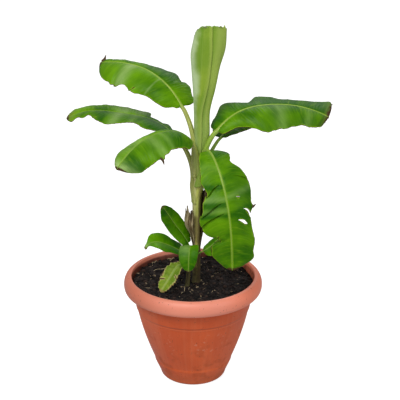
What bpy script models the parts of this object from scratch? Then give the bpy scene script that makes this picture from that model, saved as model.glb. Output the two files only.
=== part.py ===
# Potted banana plant: one young stem with six arching leaves, a rolled new leaf, two dry
# sheaths and a small side shoot, in a round clay-coloured pot filled with soil.
# Units are metres and degrees. +Z is up, +X is to the right and the viewer stands at -Y.
# The origin is the middle of the pot's flat underside.

import math

import bmesh
import bpy
import numpy as np

# Driving sizes
GAP = 0.0003                 # clearance kept between pieces that touch
POT_HEIGHT = 0.268
POT_FOOT_RADIUS = 0.0835     # outside, just above the rounded bottom edge
POT_NECK_RADIUS = 0.145      # outside, just under the rolled rim
POT_RIM_RADIUS = 0.170
POT_WALL = 0.004
SOIL_TOP = 0.248
STEM_TOP = 0.5925            # where the rolled leaf leaves the stem
PLANT_TOP = 0.891            # top of the rolled leaf
LEAF_THICKNESS = 0.0034
RIB_THICKNESS = 0.0055
HUSK_THICKNESS = 0.0018


# Start from an empty scene
for old in list(bpy.data.objects):
    bpy.data.objects.remove(old, do_unlink=True)

plant_parts = bpy.data.collections.new("banana_plant")
cutters = bpy.data.collections.new("cutters")
bpy.context.scene.collection.children.link(plant_parts)
bpy.context.scene.collection.children.link(cutters)


# Materials
def plain_material(name, colour, roughness):
    """A Principled material of one colour (sRGB, 0 to 1)."""
    material = bpy.data.materials.new(name)
    material.use_nodes = True
    linear = [channel ** 2.2 for channel in colour]
    shader = material.node_tree.nodes["Principled BSDF"]
    shader.inputs["Base Color"].default_value = (*linear, 1.0)
    shader.inputs["Roughness"].default_value = roughness
    shader.inputs["Metallic"].default_value = 0.0
    material.diffuse_color = (*linear, 1.0)
    return material


CLAY_PLASTIC = plain_material("clay_plastic", (0.78, 0.38, 0.25), 0.55)
SOIL = plain_material("potting_soil", (0.20, 0.15, 0.12), 0.95)
STEM_GREEN = plain_material("stem_green", (0.50, 0.52, 0.28), 0.50)
LEAF_GREEN = plain_material("leaf_green", (0.33, 0.56, 0.14), 0.40)
YOUNG_GREEN = plain_material("young_green", (0.56, 0.68, 0.42), 0.45)
DRY_BROWN = plain_material("dry_brown", (0.33, 0.24, 0.17), 0.90)


# Shape tools
def smooth(stations, values, x):
    """Read a smooth curve through the values at the stations, at x (a number or an array)."""
    stations = np.asarray(stations, float)
    values = np.asarray(values, float)
    x = np.asarray(x, float)
    chords = np.diff(values) / np.diff(stations)
    slopes = np.concatenate([chords[:1], (chords[:-1] + chords[1:]) / 2, chords[-1:]])
    i = np.clip(np.searchsorted(stations, x, side="right") - 1, 0, len(stations) - 2)
    span = stations[i + 1] - stations[i]
    s = (x - stations[i]) / span
    start_weight = 2 * s ** 3 - 3 * s ** 2 + 1
    end_weight = 3 * s ** 2 - 2 * s ** 3
    bend = (s ** 3 - 2 * s ** 2 + s) * slopes[i] + (s ** 3 - s ** 2) * slopes[i + 1]
    return start_weight * values[i] + end_weight * values[i + 1] + span * bend


def add_object(name, data, material, collection=plant_parts):
    obj = bpy.data.objects.new(name, data)
    collection.objects.link(obj)
    data.materials.append(material)
    return obj


def turned(name, profile, material, steps=40):
    """Turn a profile of (radius, height) points round Z. It ends on the axis at both ends."""
    mesh = bpy.data.meshes.new(name)
    edges = [(i, i + 1) for i in range(len(profile) - 1)]
    mesh.from_pydata([(radius, 0.0, height) for radius, height in profile], edges, [])
    obj = add_object(name, mesh, material)
    screw = obj.modifiers.new("turn", "SCREW")
    screw.axis = "Z"
    screw.steps = steps
    screw.render_steps = steps
    screw.use_merge_vertices = True
    screw.merge_threshold = 0.00005
    screw.use_smooth_shade = True
    return obj


def tube(name, points, radii, material, collection=plant_parts, round_level=4):
    """A tapering round limb along the points, with closed ends."""
    curve = bpy.data.curves.new(name, "CURVE")
    curve.dimensions = "3D"
    curve.bevel_depth = 1.0
    curve.bevel_resolution = round_level
    curve.use_fill_caps = True
    spline = curve.splines.new("POLY")
    spline.points.add(len(points) - 1)
    for spline_point, point, radius in zip(spline.points, points, radii):
        spline_point.co = (*point, 1.0)
        spline_point.radius = radius
    return add_object(name, curve, material, collection)


def as_mesh(obj):
    """Swap a curve object for a closed mesh of the same shape, name and place."""
    evaluated = obj.evaluated_get(bpy.context.evaluated_depsgraph_get())
    mesh = bpy.data.meshes.new_from_object(evaluated)
    shape = bmesh.new()
    shape.from_mesh(mesh)
    bmesh.ops.remove_doubles(shape, verts=shape.verts, dist=0.00002)
    shape.to_mesh(mesh)
    shape.free()
    name, place, collection = obj.name, obj.matrix_world.copy(), obj.users_collection[0]
    bpy.data.objects.remove(obj, do_unlink=True)
    solid = bpy.data.objects.new(name, mesh)
    solid.matrix_world = place
    collection.objects.link(solid)
    return solid


def cut(obj, cutter):
    """Take the cutter's space away from the object."""
    boolean = obj.modifiers.new("cut " + cutter.name, "BOOLEAN")
    boolean.operation = "DIFFERENCE"
    boolean.solver = "EXACT"
    boolean.object = cutter


def make_cutter(obj):
    obj.hide_render = True
    obj.display_type = "WIRE"
    return obj


def sheet(name, rows, columns, place, material, thickness, edge_share=1.0, offset=0.0):
    """A thin skin: a grid whose points go where place(along, across) says, given a wall.

    along and across are arrays from 0 to 1. The wall is full at the middle column and
    edge_share of that at the two sides, as on a leaf with a rib.
    """
    grid = bmesh.new()
    bmesh.ops.create_grid(grid, x_segments=rows, y_segments=columns, size=0.5)
    grid.verts.ensure_lookup_table()
    flat = np.array([vertex.co for vertex in grid.verts])
    along = flat[:, 0] + 0.5
    across = flat[:, 1] + 0.5
    for vertex, point in zip(grid.verts, place(along, across)):
        vertex.co = point
    mesh = bpy.data.meshes.new(name)
    grid.to_mesh(mesh)
    grid.free()
    obj = add_object(name, mesh, material)
    rib = obj.vertex_groups.new(name="rib")
    half_column = 0.5 / columns
    for index in np.flatnonzero(np.abs(across - 0.5) < half_column):
        rib.add([int(index)], 1.0, "REPLACE")
    wall = obj.modifiers.new("wall", "SOLIDIFY")
    wall.thickness = thickness
    wall.offset = offset
    wall.vertex_group = "rib" if edge_share < 1.0 else ""
    wall.thickness_vertex_group = edge_share
    mesh.shade_smooth()
    mesh.set_sharp_from_angle(angle=math.radians(50))
    return obj


# The pot: a wall that widens in a gentle curve to a rolled rim
BOTTOM_ROUND = 0.0115        # radius of the rounded bottom edge
RIM_MIDDLE = (0.156, 0.249)  # centre of the rim's rolled section
RIM_HALF_WIDTH = POT_RIM_RADIUS - RIM_MIDDLE[0]
RIM_HALF_HEIGHT = POT_HEIGHT - RIM_MIDDLE[1]
WALL_FOOT = 0.012
WALL_NECK = 0.226


def pot_wall_radius(height):
    """Outside radius of the pot's wall between the bottom edge and the rim."""
    share = (height - WALL_FOOT) / (WALL_NECK - WALL_FOOT)
    return POT_FOOT_RADIUS + (POT_NECK_RADIUS - POT_FOOT_RADIUS) * (1 - (1 - share) ** 1.45)


wall_heights = np.linspace(WALL_FOOT, WALL_NECK, 9)
floor_top = POT_WALL
inside_edge = RIM_MIDDLE[0] - 0.003

outer_wall = [(pot_wall_radius(height), height) for height in wall_heights]
bottom_edge = [(POT_FOOT_RADIUS - BOTTOM_ROUND * (1 - math.cos(angle)),
                WALL_FOOT - WALL_FOOT * math.sin(angle))
               for angle in np.radians([30, 60, 90])]
rim = [(RIM_MIDDLE[0] + RIM_HALF_WIDTH * math.cos(angle),
        RIM_MIDDLE[1] + RIM_HALF_HEIGHT * math.sin(angle))
       for angle in np.radians(np.linspace(100, -90, 12))]
inner_wall = [(pot_wall_radius(height) - POT_WALL, height) for height in wall_heights]
pot_profile = ([(0.0, floor_top)] + [(inner_wall[0][0] - 0.006, floor_top)] + inner_wall
               + [(inside_edge, RIM_MIDDLE[1] + 0.010)] + rim
               + outer_wall[::-1] + bottom_edge + [(0.0, 0.0)])
turned("pot", pot_profile, CLAY_PLASTIC)

# The soil fills the pot to a little under the rim and is a touch higher round the stem
soil_wall = [(radius - GAP, height) for radius, height in inner_wall if height < SOIL_TOP]
soil_rim_radius = soil_wall[-1][0] + 0.003
soil_profile = ([(0.0, SOIL_TOP), (0.055, SOIL_TOP), (0.095, SOIL_TOP - 0.003),
                 (0.130, SOIL_TOP - 0.002), (soil_rim_radius, SOIL_TOP - 0.006)]
                + soil_wall[::-1]
                + [(soil_wall[0][0] - 0.006, floor_top + GAP), (0.0, floor_top + GAP)])
turned("soil", soil_profile, SOIL)


# The main stem: it leans a little to the right and thickens where the leaf stalks part
STEM_FOOT = SOIL_TOP + GAP
STEM_HEIGHTS = (STEM_FOOT, 0.40, 0.49, STEM_TOP)
STEM_LEAN = (0.008, 0.0095, 0.0115, 0.0196)      # x of the middle at those heights
STEM_RADII = (0.0095, 0.0105, 0.0120, 0.0155)
ROOT_FLARE = 0.0025
FLARE_HEIGHT = 0.007


def stem_middle(height):
    return np.array([float(smooth(STEM_HEIGHTS, STEM_LEAN, height)), 0.0, height])


def stem_radius(height):
    flare = ROOT_FLARE * math.exp(-(height - STEM_FOOT) / FLARE_HEIGHT)
    return float(smooth(STEM_HEIGHTS, STEM_RADII, height)) + flare


def make_stem(name, extra_radius, collection):
    """The stem's limb, or a slightly fatter copy of it that cuts the stalks to its skin."""
    upright_foot = [STEM_FOOT, STEM_FOOT + 0.004, STEM_FOOT + 0.010, STEM_FOOT + 0.020]
    heights = upright_foot + list(np.linspace(0.30, STEM_TOP - 0.008, 12)) + [STEM_TOP]
    middles = [stem_middle(height) for height in heights]
    middles[0][0] = middles[1][0]
    middles[-2][0] = middles[-1][0]
    middles[-1][2] += extra_radius
    radii = [stem_radius(height) + extra_radius for height in heights]
    return tube(name, middles, radii, STEM_GREEN, collection, round_level=6)


make_stem("stem", 0.0, plant_parts)
stem_space = make_cutter(as_mesh(make_stem("stem_space", GAP, cutters)))


# The leaf rule, used for every leaf.
# A leaf leaves its stem at a height. Its midrib runs along the stalk and then the blade, and
# climbs at the angles in rise: at the stem, where the blade starts, a third and two thirds
# along the blade, and at its tip. bearing is the compass direction seen from above, 0 to +X
# and 90 to +Y, at the stem, where the blade starts and at the tip. half is the half width on
# the left and the right of someone walking out along the leaf. fold lifts each half where it
# leaves the rib, droop bends it down again towards its edge, and roll turns the blade about
# its rib. widest is the place of the greatest width, ends says how blunt base and tip are,
# lobe is how far the blade's base reaches back past its start, and notches are torn places:
# side, place along, reach along and depth as a share of the half width.
MAIN_LEAVES = {
    "upper_left": dict(height=0.572, stalk=0.130, blade=0.250, half=(0.070, 0.076),
                       rise=(92, 60, 22, 6, -6), bearing=(178, 148, 160),
                       roll=(-5, 6, 0), fold=(2, 17), droop=(70, 40),
                       widest=0.53, ends=(2.3, 2.7), lobe=0.06,
                       notches=(("left", 0.50, 0.03, 0.08), ("left", 0.72, 0.03, 0.12))),
    "right": dict(height=0.549, stalk=0.095, blade=0.306, half=(0.071, 0.067),
                  rise=(88, 51, -3, 1, -24), bearing=(12, 33, -7),
                  roll=(4, -5, 0), fold=(19, 2), droop=(38, 74),
                  widest=0.59, ends=(2.7, 4.3), lobe=0.10,
                  notches=(("right", 0.30, 0.05, 0.15),)),
    "left_front": dict(height=0.574, stalk=0.052, blade=0.232, half=(0.076, 0.047),
                       rise=(92, 55, 2, -28, -50), bearing=(232, 212, 219),
                       roll=(-1, 9, -7), fold=(5, 13), droop=(60, 53),
                       widest=0.50, ends=(2.1, 2.7), lobe=0.055),
    "left_back": dict(height=0.504, stalk=0.140, blade=0.280, half=(0.062, 0.050),
                      rise=(98, 36, 5, 2, -27), bearing=(165, 152, 185),
                      roll=(20, 3, 1), fold=(16, 19), droop=(42, 39),
                      widest=0.43, ends=(2.8, 2.5), lobe=0.06,
                      notches=(("right", 0.08, 0.13, 0.60), ("left", 0.84, 0.08, 0.45))),
    "right_front": dict(height=0.550, stalk=0.088, blade=0.324, half=(0.063, 0.069),
                        rise=(102, -6, -71, -86, -120), bearing=(-70, -61, -110),
                        roll=(-4, -6, 7), fold=(7, 8), droop=(37, 33),
                        widest=0.49, ends=(2.7, 3.0), lobe=0.08,
                        notches=(("left", 0.20, 0.05, 0.15), ("right", 0.73, 0.035, 0.60),
                                 ("right", 0.87, 0.08, 0.20))),
    "right_back": dict(height=0.534, stalk=0.100, blade=0.265, half=(0.064, 0.064),
                       rise=(80, 25, 7, -2, -32), bearing=(62, 52, 46),
                       roll=(-16, -4, 0), fold=(20, 14), droop=(34, 50),
                       widest=0.47, ends=(2.5, 2.6), lobe=0.06),
}
MIDRIB_POINTS = 120
BLADE_FOOT_HALF_WIDTH = 0.004
STALK_ROOT_RADIUS = 0.0052
STALK_TIP_RADIUS = 0.0032
STALK_SPACE = 0.007          # the blade's base reaches back only this far out from its rib
BLADE_GAP = 0.0006           # between a stalk's end and its blade


def direction(bearing):
    angle = math.radians(bearing)
    return np.array([math.cos(angle), math.sin(angle), 0.0])


def midrib(leaf):
    """Distances along the rib, its points, its directions and its compass angles."""
    stalk, blade = leaf["stalk"], leaf["blade"]
    length = stalk + blade
    distance = np.linspace(0.0, length, MIDRIB_POINTS)
    stations = (0.0, stalk, stalk + blade / 3, stalk + blade * 2 / 3, length)
    climb = np.radians(smooth(stations, leaf["rise"], distance))
    compass = np.radians(smooth((0.0, stalk, length), leaf["bearing"], distance))
    heading = np.stack([np.cos(climb) * np.cos(compass),
                        np.cos(climb) * np.sin(compass), np.sin(climb)], axis=1)
    step = length / (MIDRIB_POINTS - 1)
    moves = (heading[:-1] + heading[1:]) / 2 * step
    points = leaf["root"] + np.vstack([np.zeros(3), np.cumsum(moves, axis=0)])
    return distance, points, heading, compass


def width_share(leaf, along):
    """Half width along the blade as a share of its greatest: 0 at the ends, 1 at widest."""
    widest = leaf["widest"]
    before = along < widest
    away = np.where(before, (widest - along) / widest, (along - widest) / (1 - widest))
    bluntness = np.where(before, leaf["ends"][0], leaf["ends"][1])
    return np.maximum(0.0, 1 - np.clip(away, 0, 1) ** bluntness) ** (1 / 1.8)


def notch_share(leaf, along, left):
    """What torn places leave of the half width: 1 where the edge is whole."""
    share = np.ones_like(along)
    for side, place, reach, depth in leaf.get("notches", ()):
        on_side = left if side == "left" else ~left
        dip = depth * np.exp(-((along - place) / reach) ** 2)
        share = np.where(on_side, share * (1 - dip), share)
    return share


def blade_points(leaf, along, side):
    """Points of the blade: along from 0 to 1, side from -1 (right edge) to 1 (left edge)."""
    distance, points, heading, compass = midrib(leaf)
    left = side > 0
    across = np.abs(side)
    share = width_share(leaf, along)
    half = np.where(left, leaf["half"][0], leaf["half"][1]) * share
    half = np.maximum(half * notch_share(leaf, along, left), BLADE_FOOT_HALF_WIDTH * leaf["scale"])
    off_rib = np.maximum(0.0, across - STALK_SPACE / half)
    reach_back = leaf["lobe"] * share * off_rib * np.clip(1 - along, 0, 1) ** 3
    place = leaf["stalk"] + (along - reach_back) * leaf["blade"]

    def read(values):
        return np.stack([np.interp(place, distance, values[:, k]) for k in range(3)], axis=1)

    rib = read(points)
    forward = read(heading)
    forward /= np.linalg.norm(forward, axis=1, keepdims=True)
    turn = np.interp(place, distance, compass)
    level = np.stack([-np.sin(turn), np.cos(turn), np.zeros_like(turn)], axis=1)
    up = np.cross(forward, level)
    roll = np.radians(smooth((0.0, 0.5, 1.0), leaf["roll"], np.clip(along, 0, 1)))[:, None]
    sideways = level * np.cos(roll) + up * np.sin(roll)
    above = up * np.cos(roll) - level * np.sin(roll)

    fold = np.radians(np.where(left, leaf["fold"][0], leaf["fold"][1]))
    droop = np.radians(np.where(left, leaf["droop"][0], leaf["droop"][1]))
    out = (np.sin(fold) - np.sin(fold - droop * across)) / droop
    lift = (np.cos(fold - droop * across) - np.cos(fold)) / droop
    return (rib + (np.sign(side) * half * out)[:, None] * sideways
            + (half * lift)[:, None] * above)


def even_to_ends(share):
    """Rows that draw together towards both ends of a blade, where its outline turns fast."""
    return 0.45 * share + 0.55 * (0.5 - 0.5 * np.cos(np.pi * share))


def make_blade(name, leaf, rows, columns, thickness, rib_thickness):
    """The blade alone, from its foot to its tip."""
    start = BLADE_GAP / leaf["blade"]

    def place(along, across):
        return blade_points(leaf, start + (1 - start) * even_to_ends(along), 2 * across - 1)

    return sheet(name, rows, columns, place, LEAF_GREEN, rib_thickness,
                 thickness / rib_thickness)


def make_stalk(name, leaf):
    """The leaf's stalk, cut at its foot to the stem's skin."""
    distance, points, _, _ = midrib(leaf)
    places = np.linspace(0.0, leaf["stalk"], 10)
    centres = [[np.interp(at, distance, points[:, k]) for k in range(3)] for at in places]
    radii = np.interp(places, places[[0, -1]], (STALK_ROOT_RADIUS, STALK_TIP_RADIUS))
    stalk = as_mesh(tube(name, centres, radii, STEM_GREEN))
    cut(stalk, stem_space)
    return stalk


for leaf_name, leaf in MAIN_LEAVES.items():
    foot = stem_middle(leaf["height"])
    leaf["root"] = foot + stem_radius(leaf["height"]) * direction(leaf["bearing"][0])
    leaf["scale"] = 1.0
    make_stalk("stalk_" + leaf_name, leaf)
    rows = 26 if leaf_name == "right_front" else 20
    make_blade("leaf_" + leaf_name, leaf, rows, 8, LEAF_THICKNESS, RIB_THICKNESS)


# The new leaf is still rolled up like a scroll and opens towards its top.
# Its outer edge runs up the front, and from there it winds round by the left.
ROLL_STATIONS = (0.0, 0.15, 0.35, 0.52, 0.69, 0.84, 1.0)
ROLL_MIDDLE_X = (0.0205, 0.0224, 0.0212, 0.0258, 0.0300, 0.0352, 0.0405)
ROLL_RADII = (0.0115, 0.0165, 0.0172, 0.0248, 0.0318, 0.0390, 0.0370)
ROLL_DEPTHS = (0.0115, 0.0150, 0.0150, 0.0175, 0.0190, 0.0200, 0.0190)
ROLL_TURNS = 1.3
ROLL_PITCH = 0.0042          # how far one turn lies inside the last
ROLL_EDGE_BEARING = -80.0
ROLL_THICKNESS = 0.0031
LEFT_SHOULDER = 0.026        # how much lower the top edge is on the left
RIGHT_SHOULDER = 0.012
TOP_SLANT = 0.0065           # the top edge is this much higher in front than in the middle


def rolled_points(along, across):
    wound = 2 * np.pi * ROLL_TURNS * across
    angle = math.radians(ROLL_EDGE_BEARING) - wound
    inset = ROLL_PITCH * across * ROLL_TURNS
    middle_x = smooth(ROLL_STATIONS, ROLL_MIDDLE_X, along)
    half_width = smooth(ROLL_STATIONS, ROLL_RADII, along) - inset
    half_depth = smooth(ROLL_STATIONS, ROLL_DEPTHS, along) - inset
    leftness = np.maximum(0.0, -np.cos(angle)) ** 5
    rightness = np.maximum(0.0, np.cos(angle)) ** 5
    top = (PLANT_TOP - LEFT_SHOULDER * leftness - RIGHT_SHOULDER * rightness
           - TOP_SLANT * np.sin(angle))
    foot = STEM_TOP + GAP
    full_height = PLANT_TOP - foot
    height = foot + full_height * along - (PLANT_TOP - top) * np.maximum(0, along - 0.7) / 0.3
    return np.stack([middle_x + half_width * np.cos(angle), half_depth * np.sin(angle), height],
                    axis=1)


sheet("leaf_rolled", 13, 34, rolled_points, YOUNG_GREEN, ROLL_THICKNESS, offset=-1.0)


# Dry husks: remains of old leaf sheaths that stand off the stem, one on each side
HUSKS = {
    "husk_left": dict(foot=0.352, top=0.432, bearings=(150, 245), flare=0.015, bulge=0.001),
    "husk_right": dict(foot=0.340, top=0.486, bearings=(-40, 70), flare=0.003, bulge=0.006),
}
HUSK_CLEARANCE = 0.0006
FRAY = 0.008                 # how unevenly the husk's top is torn


def make_husk(name, husk):
    first, last = husk["bearings"]

    def place(along, across):
        bearing = np.radians(first + (last - first) * across)
        torn_top = husk["top"] + FRAY * np.sin(across * 17.0) * np.cos(across * 5.0)
        height = husk["foot"] + (torn_top - husk["foot"]) * along
        middle = np.array([stem_middle(level)[0] for level in height])
        skin = np.array([stem_radius(level) for level in height])
        stand_off = (HUSK_CLEARANCE + HUSK_THICKNESS / 2 + husk["flare"] * along ** 3
                     + husk["bulge"] * np.sin(np.pi * along) ** 2)
        radius = skin + stand_off
        return np.stack([middle + radius * np.cos(bearing), radius * np.sin(bearing), height],
                        axis=1)

    return sheet(name, 8, 9, place, DRY_BROWN, HUSK_THICKNESS)


for husk_name, husk in HUSKS.items():
    make_husk(husk_name, husk)


# The side shoot: a short stem beside the main one, in front and to its left, with five leaves
SHOOT_FOOT = np.array([-0.014, -0.026, SOIL_TOP + GAP])
SHOOT_TOP = np.array([-0.004, -0.013, 0.345])
SHOOT_FOOT_RADIUS = 0.0055
SHOOT_TOP_RADIUS = 0.0040
SHOOT_LEAF_THICKNESS = 0.0016
SHOOT_RIB_THICKNESS = 0.0026
SHOOT_LEAVES = {
    "upright": dict(height=0.341, stalk=0.017, blade=0.113, half=(0.031, 0.024),
                    rise=(81, 68, 53, 56, 48), bearing=(187, 180, 162),
                    roll=(-7, -15, -3), fold=(16, 28), droop=(42, 18),
                    widest=0.44, ends=(2.4, 2.4), lobe=0.02),
    "left": dict(height=0.316, stalk=0.021, blade=0.117, half=(0.026, 0.017),
                 rise=(68, 43, 31, 15, -63), bearing=(190, 192, 210),
                 roll=(-1, -21, 5), fold=(19, 28), droop=(35, 19),
                 widest=0.46, ends=(2.3, 2.2), lobe=0.02),
    "front": dict(height=0.336, stalk=0.021, blade=0.069, half=(0.024, 0.024),
                  rise=(64, 20, -37, -69, -77), bearing=(-92, -99, -98),
                  roll=(4, 0, -2), fold=(17, 16), droop=(35, 37),
                  widest=0.46, ends=(2.6, 2.6), lobe=0.02),
    "low": dict(height=0.301, stalk=0.023, blade=0.090, half=(0.017, 0.016),
                rise=(42, 8, -42, -43, -57), bearing=(213, 224, 218),
                roll=(-2, -8, -10), fold=(18, 28), droop=(32, 13),
                widest=0.49, ends=(2.35, 2.7), lobe=0.02),
    "right": dict(height=0.318, stalk=0.034, blade=0.065, half=(0.016, 0.020),
                  rise=(40, 22, 29, 35, 15), bearing=(5, 20, 38),
                  roll=(4, 8, -7), fold=(17, 14), droop=(37, 39),
                  widest=0.42, ends=(2.3, 2.1), lobe=0.02),
}


def shoot_middle(height):
    share = (height - SHOOT_FOOT[2]) / (SHOOT_TOP[2] - SHOOT_FOOT[2])
    return SHOOT_FOOT + share * (SHOOT_TOP - SHOOT_FOOT)


def shoot_radius(height):
    share = (height - SHOOT_FOOT[2]) / (SHOOT_TOP[2] - SHOOT_FOOT[2])
    return SHOOT_FOOT_RADIUS + share * (SHOOT_TOP_RADIUS - SHOOT_FOOT_RADIUS)


def make_shoot_stem(name, extra_radius, collection):
    heights = list(np.linspace(SHOOT_FOOT[2], SHOOT_TOP[2], 6))
    middles = [shoot_middle(height) for height in heights]
    upright_foot = middles[0] + np.array([0.0, 0.0, 0.003])
    middles.insert(1, upright_foot)
    heights.insert(1, upright_foot[2])
    middles[-1] = middles[-1] + np.array([0.0, 0.0, extra_radius])
    radii = [shoot_radius(height) + extra_radius for height in heights]
    return tube(name, middles, radii, STEM_GREEN, collection)


def make_shoot_leaf(name, leaf):
    """A small leaf whose blade runs down as a narrow stalk to the shoot's skin."""
    foot = -leaf["stalk"] / leaf["blade"]

    def place(along, across):
        return blade_points(leaf, foot + (1 - foot) * even_to_ends(along), 2 * across - 1)

    skin = sheet(name, 14, 6, place, LEAF_GREEN, SHOOT_RIB_THICKNESS,
                 SHOOT_LEAF_THICKNESS / SHOOT_RIB_THICKNESS)
    cut(skin, shoot_space)


make_shoot_stem("shoot_stem", 0.0, plant_parts)
shoot_space = make_cutter(as_mesh(make_shoot_stem("shoot_space", GAP, cutters)))
for leaf_name, leaf in SHOOT_LEAVES.items():
    way_out = direction(leaf["bearing"][0])
    leaf["root"] = shoot_middle(leaf["height"]) + 0.6 * shoot_radius(leaf["height"]) * way_out
    leaf["scale"] = 0.5
    make_shoot_leaf("shoot_leaf_" + leaf_name, leaf)
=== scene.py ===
# %% [markdown]
# # A young banana plant in a pot
# The real thing is a clay-coloured plastic pot of dark soil, a stem that is really a roll of leaf
# sheaths, six arching leaves, one new leaf that is still rolled up, and a small side shoot.
# The sizes were settled in the plain solids, which arrive here as a fixed frame. This lesson
# dresses them: each leaf is grown again along the same midrib, but finer, with veins, tears and
# dry margins, and every surface gets a finish of its own.

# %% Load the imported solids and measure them
import math

import bmesh
import bpy
import numpy as np
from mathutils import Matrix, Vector, noise


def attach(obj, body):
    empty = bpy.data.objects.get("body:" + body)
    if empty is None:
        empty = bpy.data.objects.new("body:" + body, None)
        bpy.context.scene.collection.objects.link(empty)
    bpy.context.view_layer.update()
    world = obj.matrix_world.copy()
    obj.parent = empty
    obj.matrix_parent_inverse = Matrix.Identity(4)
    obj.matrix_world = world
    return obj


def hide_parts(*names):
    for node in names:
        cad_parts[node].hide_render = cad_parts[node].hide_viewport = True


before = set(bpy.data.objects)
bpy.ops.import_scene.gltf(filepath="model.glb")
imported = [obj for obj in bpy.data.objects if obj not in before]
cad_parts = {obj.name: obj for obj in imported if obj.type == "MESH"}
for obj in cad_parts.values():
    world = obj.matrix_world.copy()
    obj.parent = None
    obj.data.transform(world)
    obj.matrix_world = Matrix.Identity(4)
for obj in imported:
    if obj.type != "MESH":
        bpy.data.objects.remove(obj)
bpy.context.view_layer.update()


def rounded(values):
    return [round(value, 3) for value in values]


# %% [markdown]
# ## The camera
# The rim of the pot is a circle that the photograph shows as an ellipse, and its flatness gives
# the angle from which it is seen: about 25 degrees above level. A camera 3 m away with a long
# lens shows the pot's foot and the stem at the right places too. The frame is 400 pixels wide,
# so a focal length in pixels becomes one in millimetres on a 36 mm sensor.

# %% Camera
FRAME_PIXELS = 400
FOCAL_PIXELS = 1344.6
SENSOR_WIDTH = 36.0
CAMERA_DISTANCE = 3.0
CAMERA_SIDE = 0.0172
CAMERA_TILT_DOWN = 21.91
RIM_HEIGHT = 0.2658
RIM_SEEN_FROM = 25.1


def into_scene(name, data):
    """A new object in the scene, from a mesh, a lamp or a camera."""
    made = bpy.data.objects.new(name, data)
    bpy.context.scene.collection.objects.link(made)
    return made


camera_data = bpy.data.cameras.new("camera")
camera_data.sensor_width = SENSOR_WIDTH
camera_data.lens = FOCAL_PIXELS / FRAME_PIXELS * SENSOR_WIDTH
camera = into_scene("camera", camera_data)
camera.location = (CAMERA_SIDE, -CAMERA_DISTANCE,
                   RIM_HEIGHT + CAMERA_DISTANCE * math.tan(math.radians(RIM_SEEN_FROM)))
camera.rotation_euler = (math.radians(90 - CAMERA_TILT_DOWN), 0.0, 0.0)
bpy.context.scene.camera = camera
print("camera at", rounded(camera.location), "with a lens of", round(camera_data.lens, 1), "mm")

# %% [markdown]
# ## A small language for nodes
# Both the shapes and the finishes below are node trees that the script builds. Long chains of
# Math nodes are hard to read, so a Field wraps a node's output: adding or multiplying two fields
# makes the Math node and returns a new field. A formula for a leaf then looks like a formula.


# %% Fields
class Field:
    """A value that varies over a surface: the output of a node, ready for sums."""

    def __init__(self, tree, socket):
        self.tree = tree
        self.socket = socket

    def output(self, name):
        """Another output of the same node."""
        outputs = self.socket.node.outputs
        return Field(self.tree, next(one for one in outputs if one.enabled and one.name.lower() == name))

    def math(self, operation, *others):
        return calculate(self.tree, "ShaderNodeMath", operation, self, *others)

    def __add__(self, other):
        return self.math("ADD", other)

    def __sub__(self, other):
        return self.math("SUBTRACT", other)

    def __rsub__(self, other):
        return calculate(self.tree, "ShaderNodeMath", "SUBTRACT", other, self)

    def __mul__(self, other):
        return self.math("MULTIPLY", other)

    def __truediv__(self, other):
        return self.math("DIVIDE", other)

    def __pow__(self, other):
        return self.math("POWER", other)

    def __gt__(self, other):
        return self.math("GREATER_THAN", other)

    def __lt__(self, other):
        return self.math("LESS_THAN", other)

    __radd__ = __add__
    __rmul__ = __mul__


# %% Nodes and groups
def feed(tree, socket, value):
    """Give a socket a plain value, or link another node's output to it."""
    if isinstance(value, Field):
        tree.links.new(value.socket, socket)
    else:
        socket.default_value = value


def calculate(tree, kind, operation, *values):
    node = tree.nodes.new(kind)
    node.operation = operation
    for socket, value in zip(node.inputs, values):
        feed(tree, socket, value)
    return Field(tree, node.outputs[0])


def put(tree, kind, options=None, **values):
    """Add a node, set its options and feed its sockets, named in lower case with _ for a space.
    Gives back the node's first output that is in use."""
    node = tree.nodes.new(kind)
    for option, value in (options or {}).items():
        setattr(node, option, value)
    for name, value in values.items():
        wanted = name.replace("_", " ")
        feed(tree, next(one for one in node.inputs if one.enabled and one.name.lower() == wanted), value)
    return Field(tree, next(one for one in node.outputs if one.enabled))


def new_group(name, kind, inputs, outputs):
    """A node group with named inputs and one output. Each name stands with its kind of socket, or
    with the number that it starts with."""
    tree = bpy.data.node_groups.new(name, kind)
    for direction, sockets in (("INPUT", inputs), ("OUTPUT", outputs)):
        for socket_name, start in sockets.items():
            number = {float: "Float", int: "Int"}.get(type(start))
            socket = tree.interface.new_socket(
                name=socket_name, in_out=direction, socket_type="NodeSocket" + (number or start))
            if number:
                socket.default_value = start
    given = tree.nodes.new("NodeGroupInput")
    result = tree.nodes.new("NodeGroupOutput")
    return tree, {one.name: Field(tree, one) for one in given.outputs if one.name}, result.inputs[0]


def smooth_range(tree, value, start, end):
    """0 at start and 1 at end, smoothly between; start may be the larger."""
    return put(tree, "ShaderNodeMapRange", {"interpolation_type": "SMOOTHSTEP"}, value=value,
               from_min=start, from_max=end)


def cloud(tree, place, scale, detail, **more):
    """Soft noise around 0.5."""
    return put(tree, "ShaderNodeTexNoise", vector=place, scale=scale, detail=detail, **more)


def combined(tree, x, y, z):
    return put(tree, "ShaderNodeCombineXYZ", x=x, y=y, z=z)


# %% [markdown]
# ## Light and stage
# The photograph is lit softly from above and a little from the left, on pure white. A broad lamp
# over the left shoulder gives the leaves their soft gloss, and weaker ones on the right and behind
# fill the shaded sides. The paper behind is white only to the camera: a floor that really shone
# white would light the pot from below, and in the photograph its wall is darker than its rim.

# %% Floor, world and lamps
FLOOR_RADIUS = 16.0
FLOOR_GLOW = 0.85
DAYLIGHT = 0.42
WHITE = (1.0, 1.0, 1.0, 1.0)
PLANT_MIDDLE = np.array((0.0, 0.0, 0.45))


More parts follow.
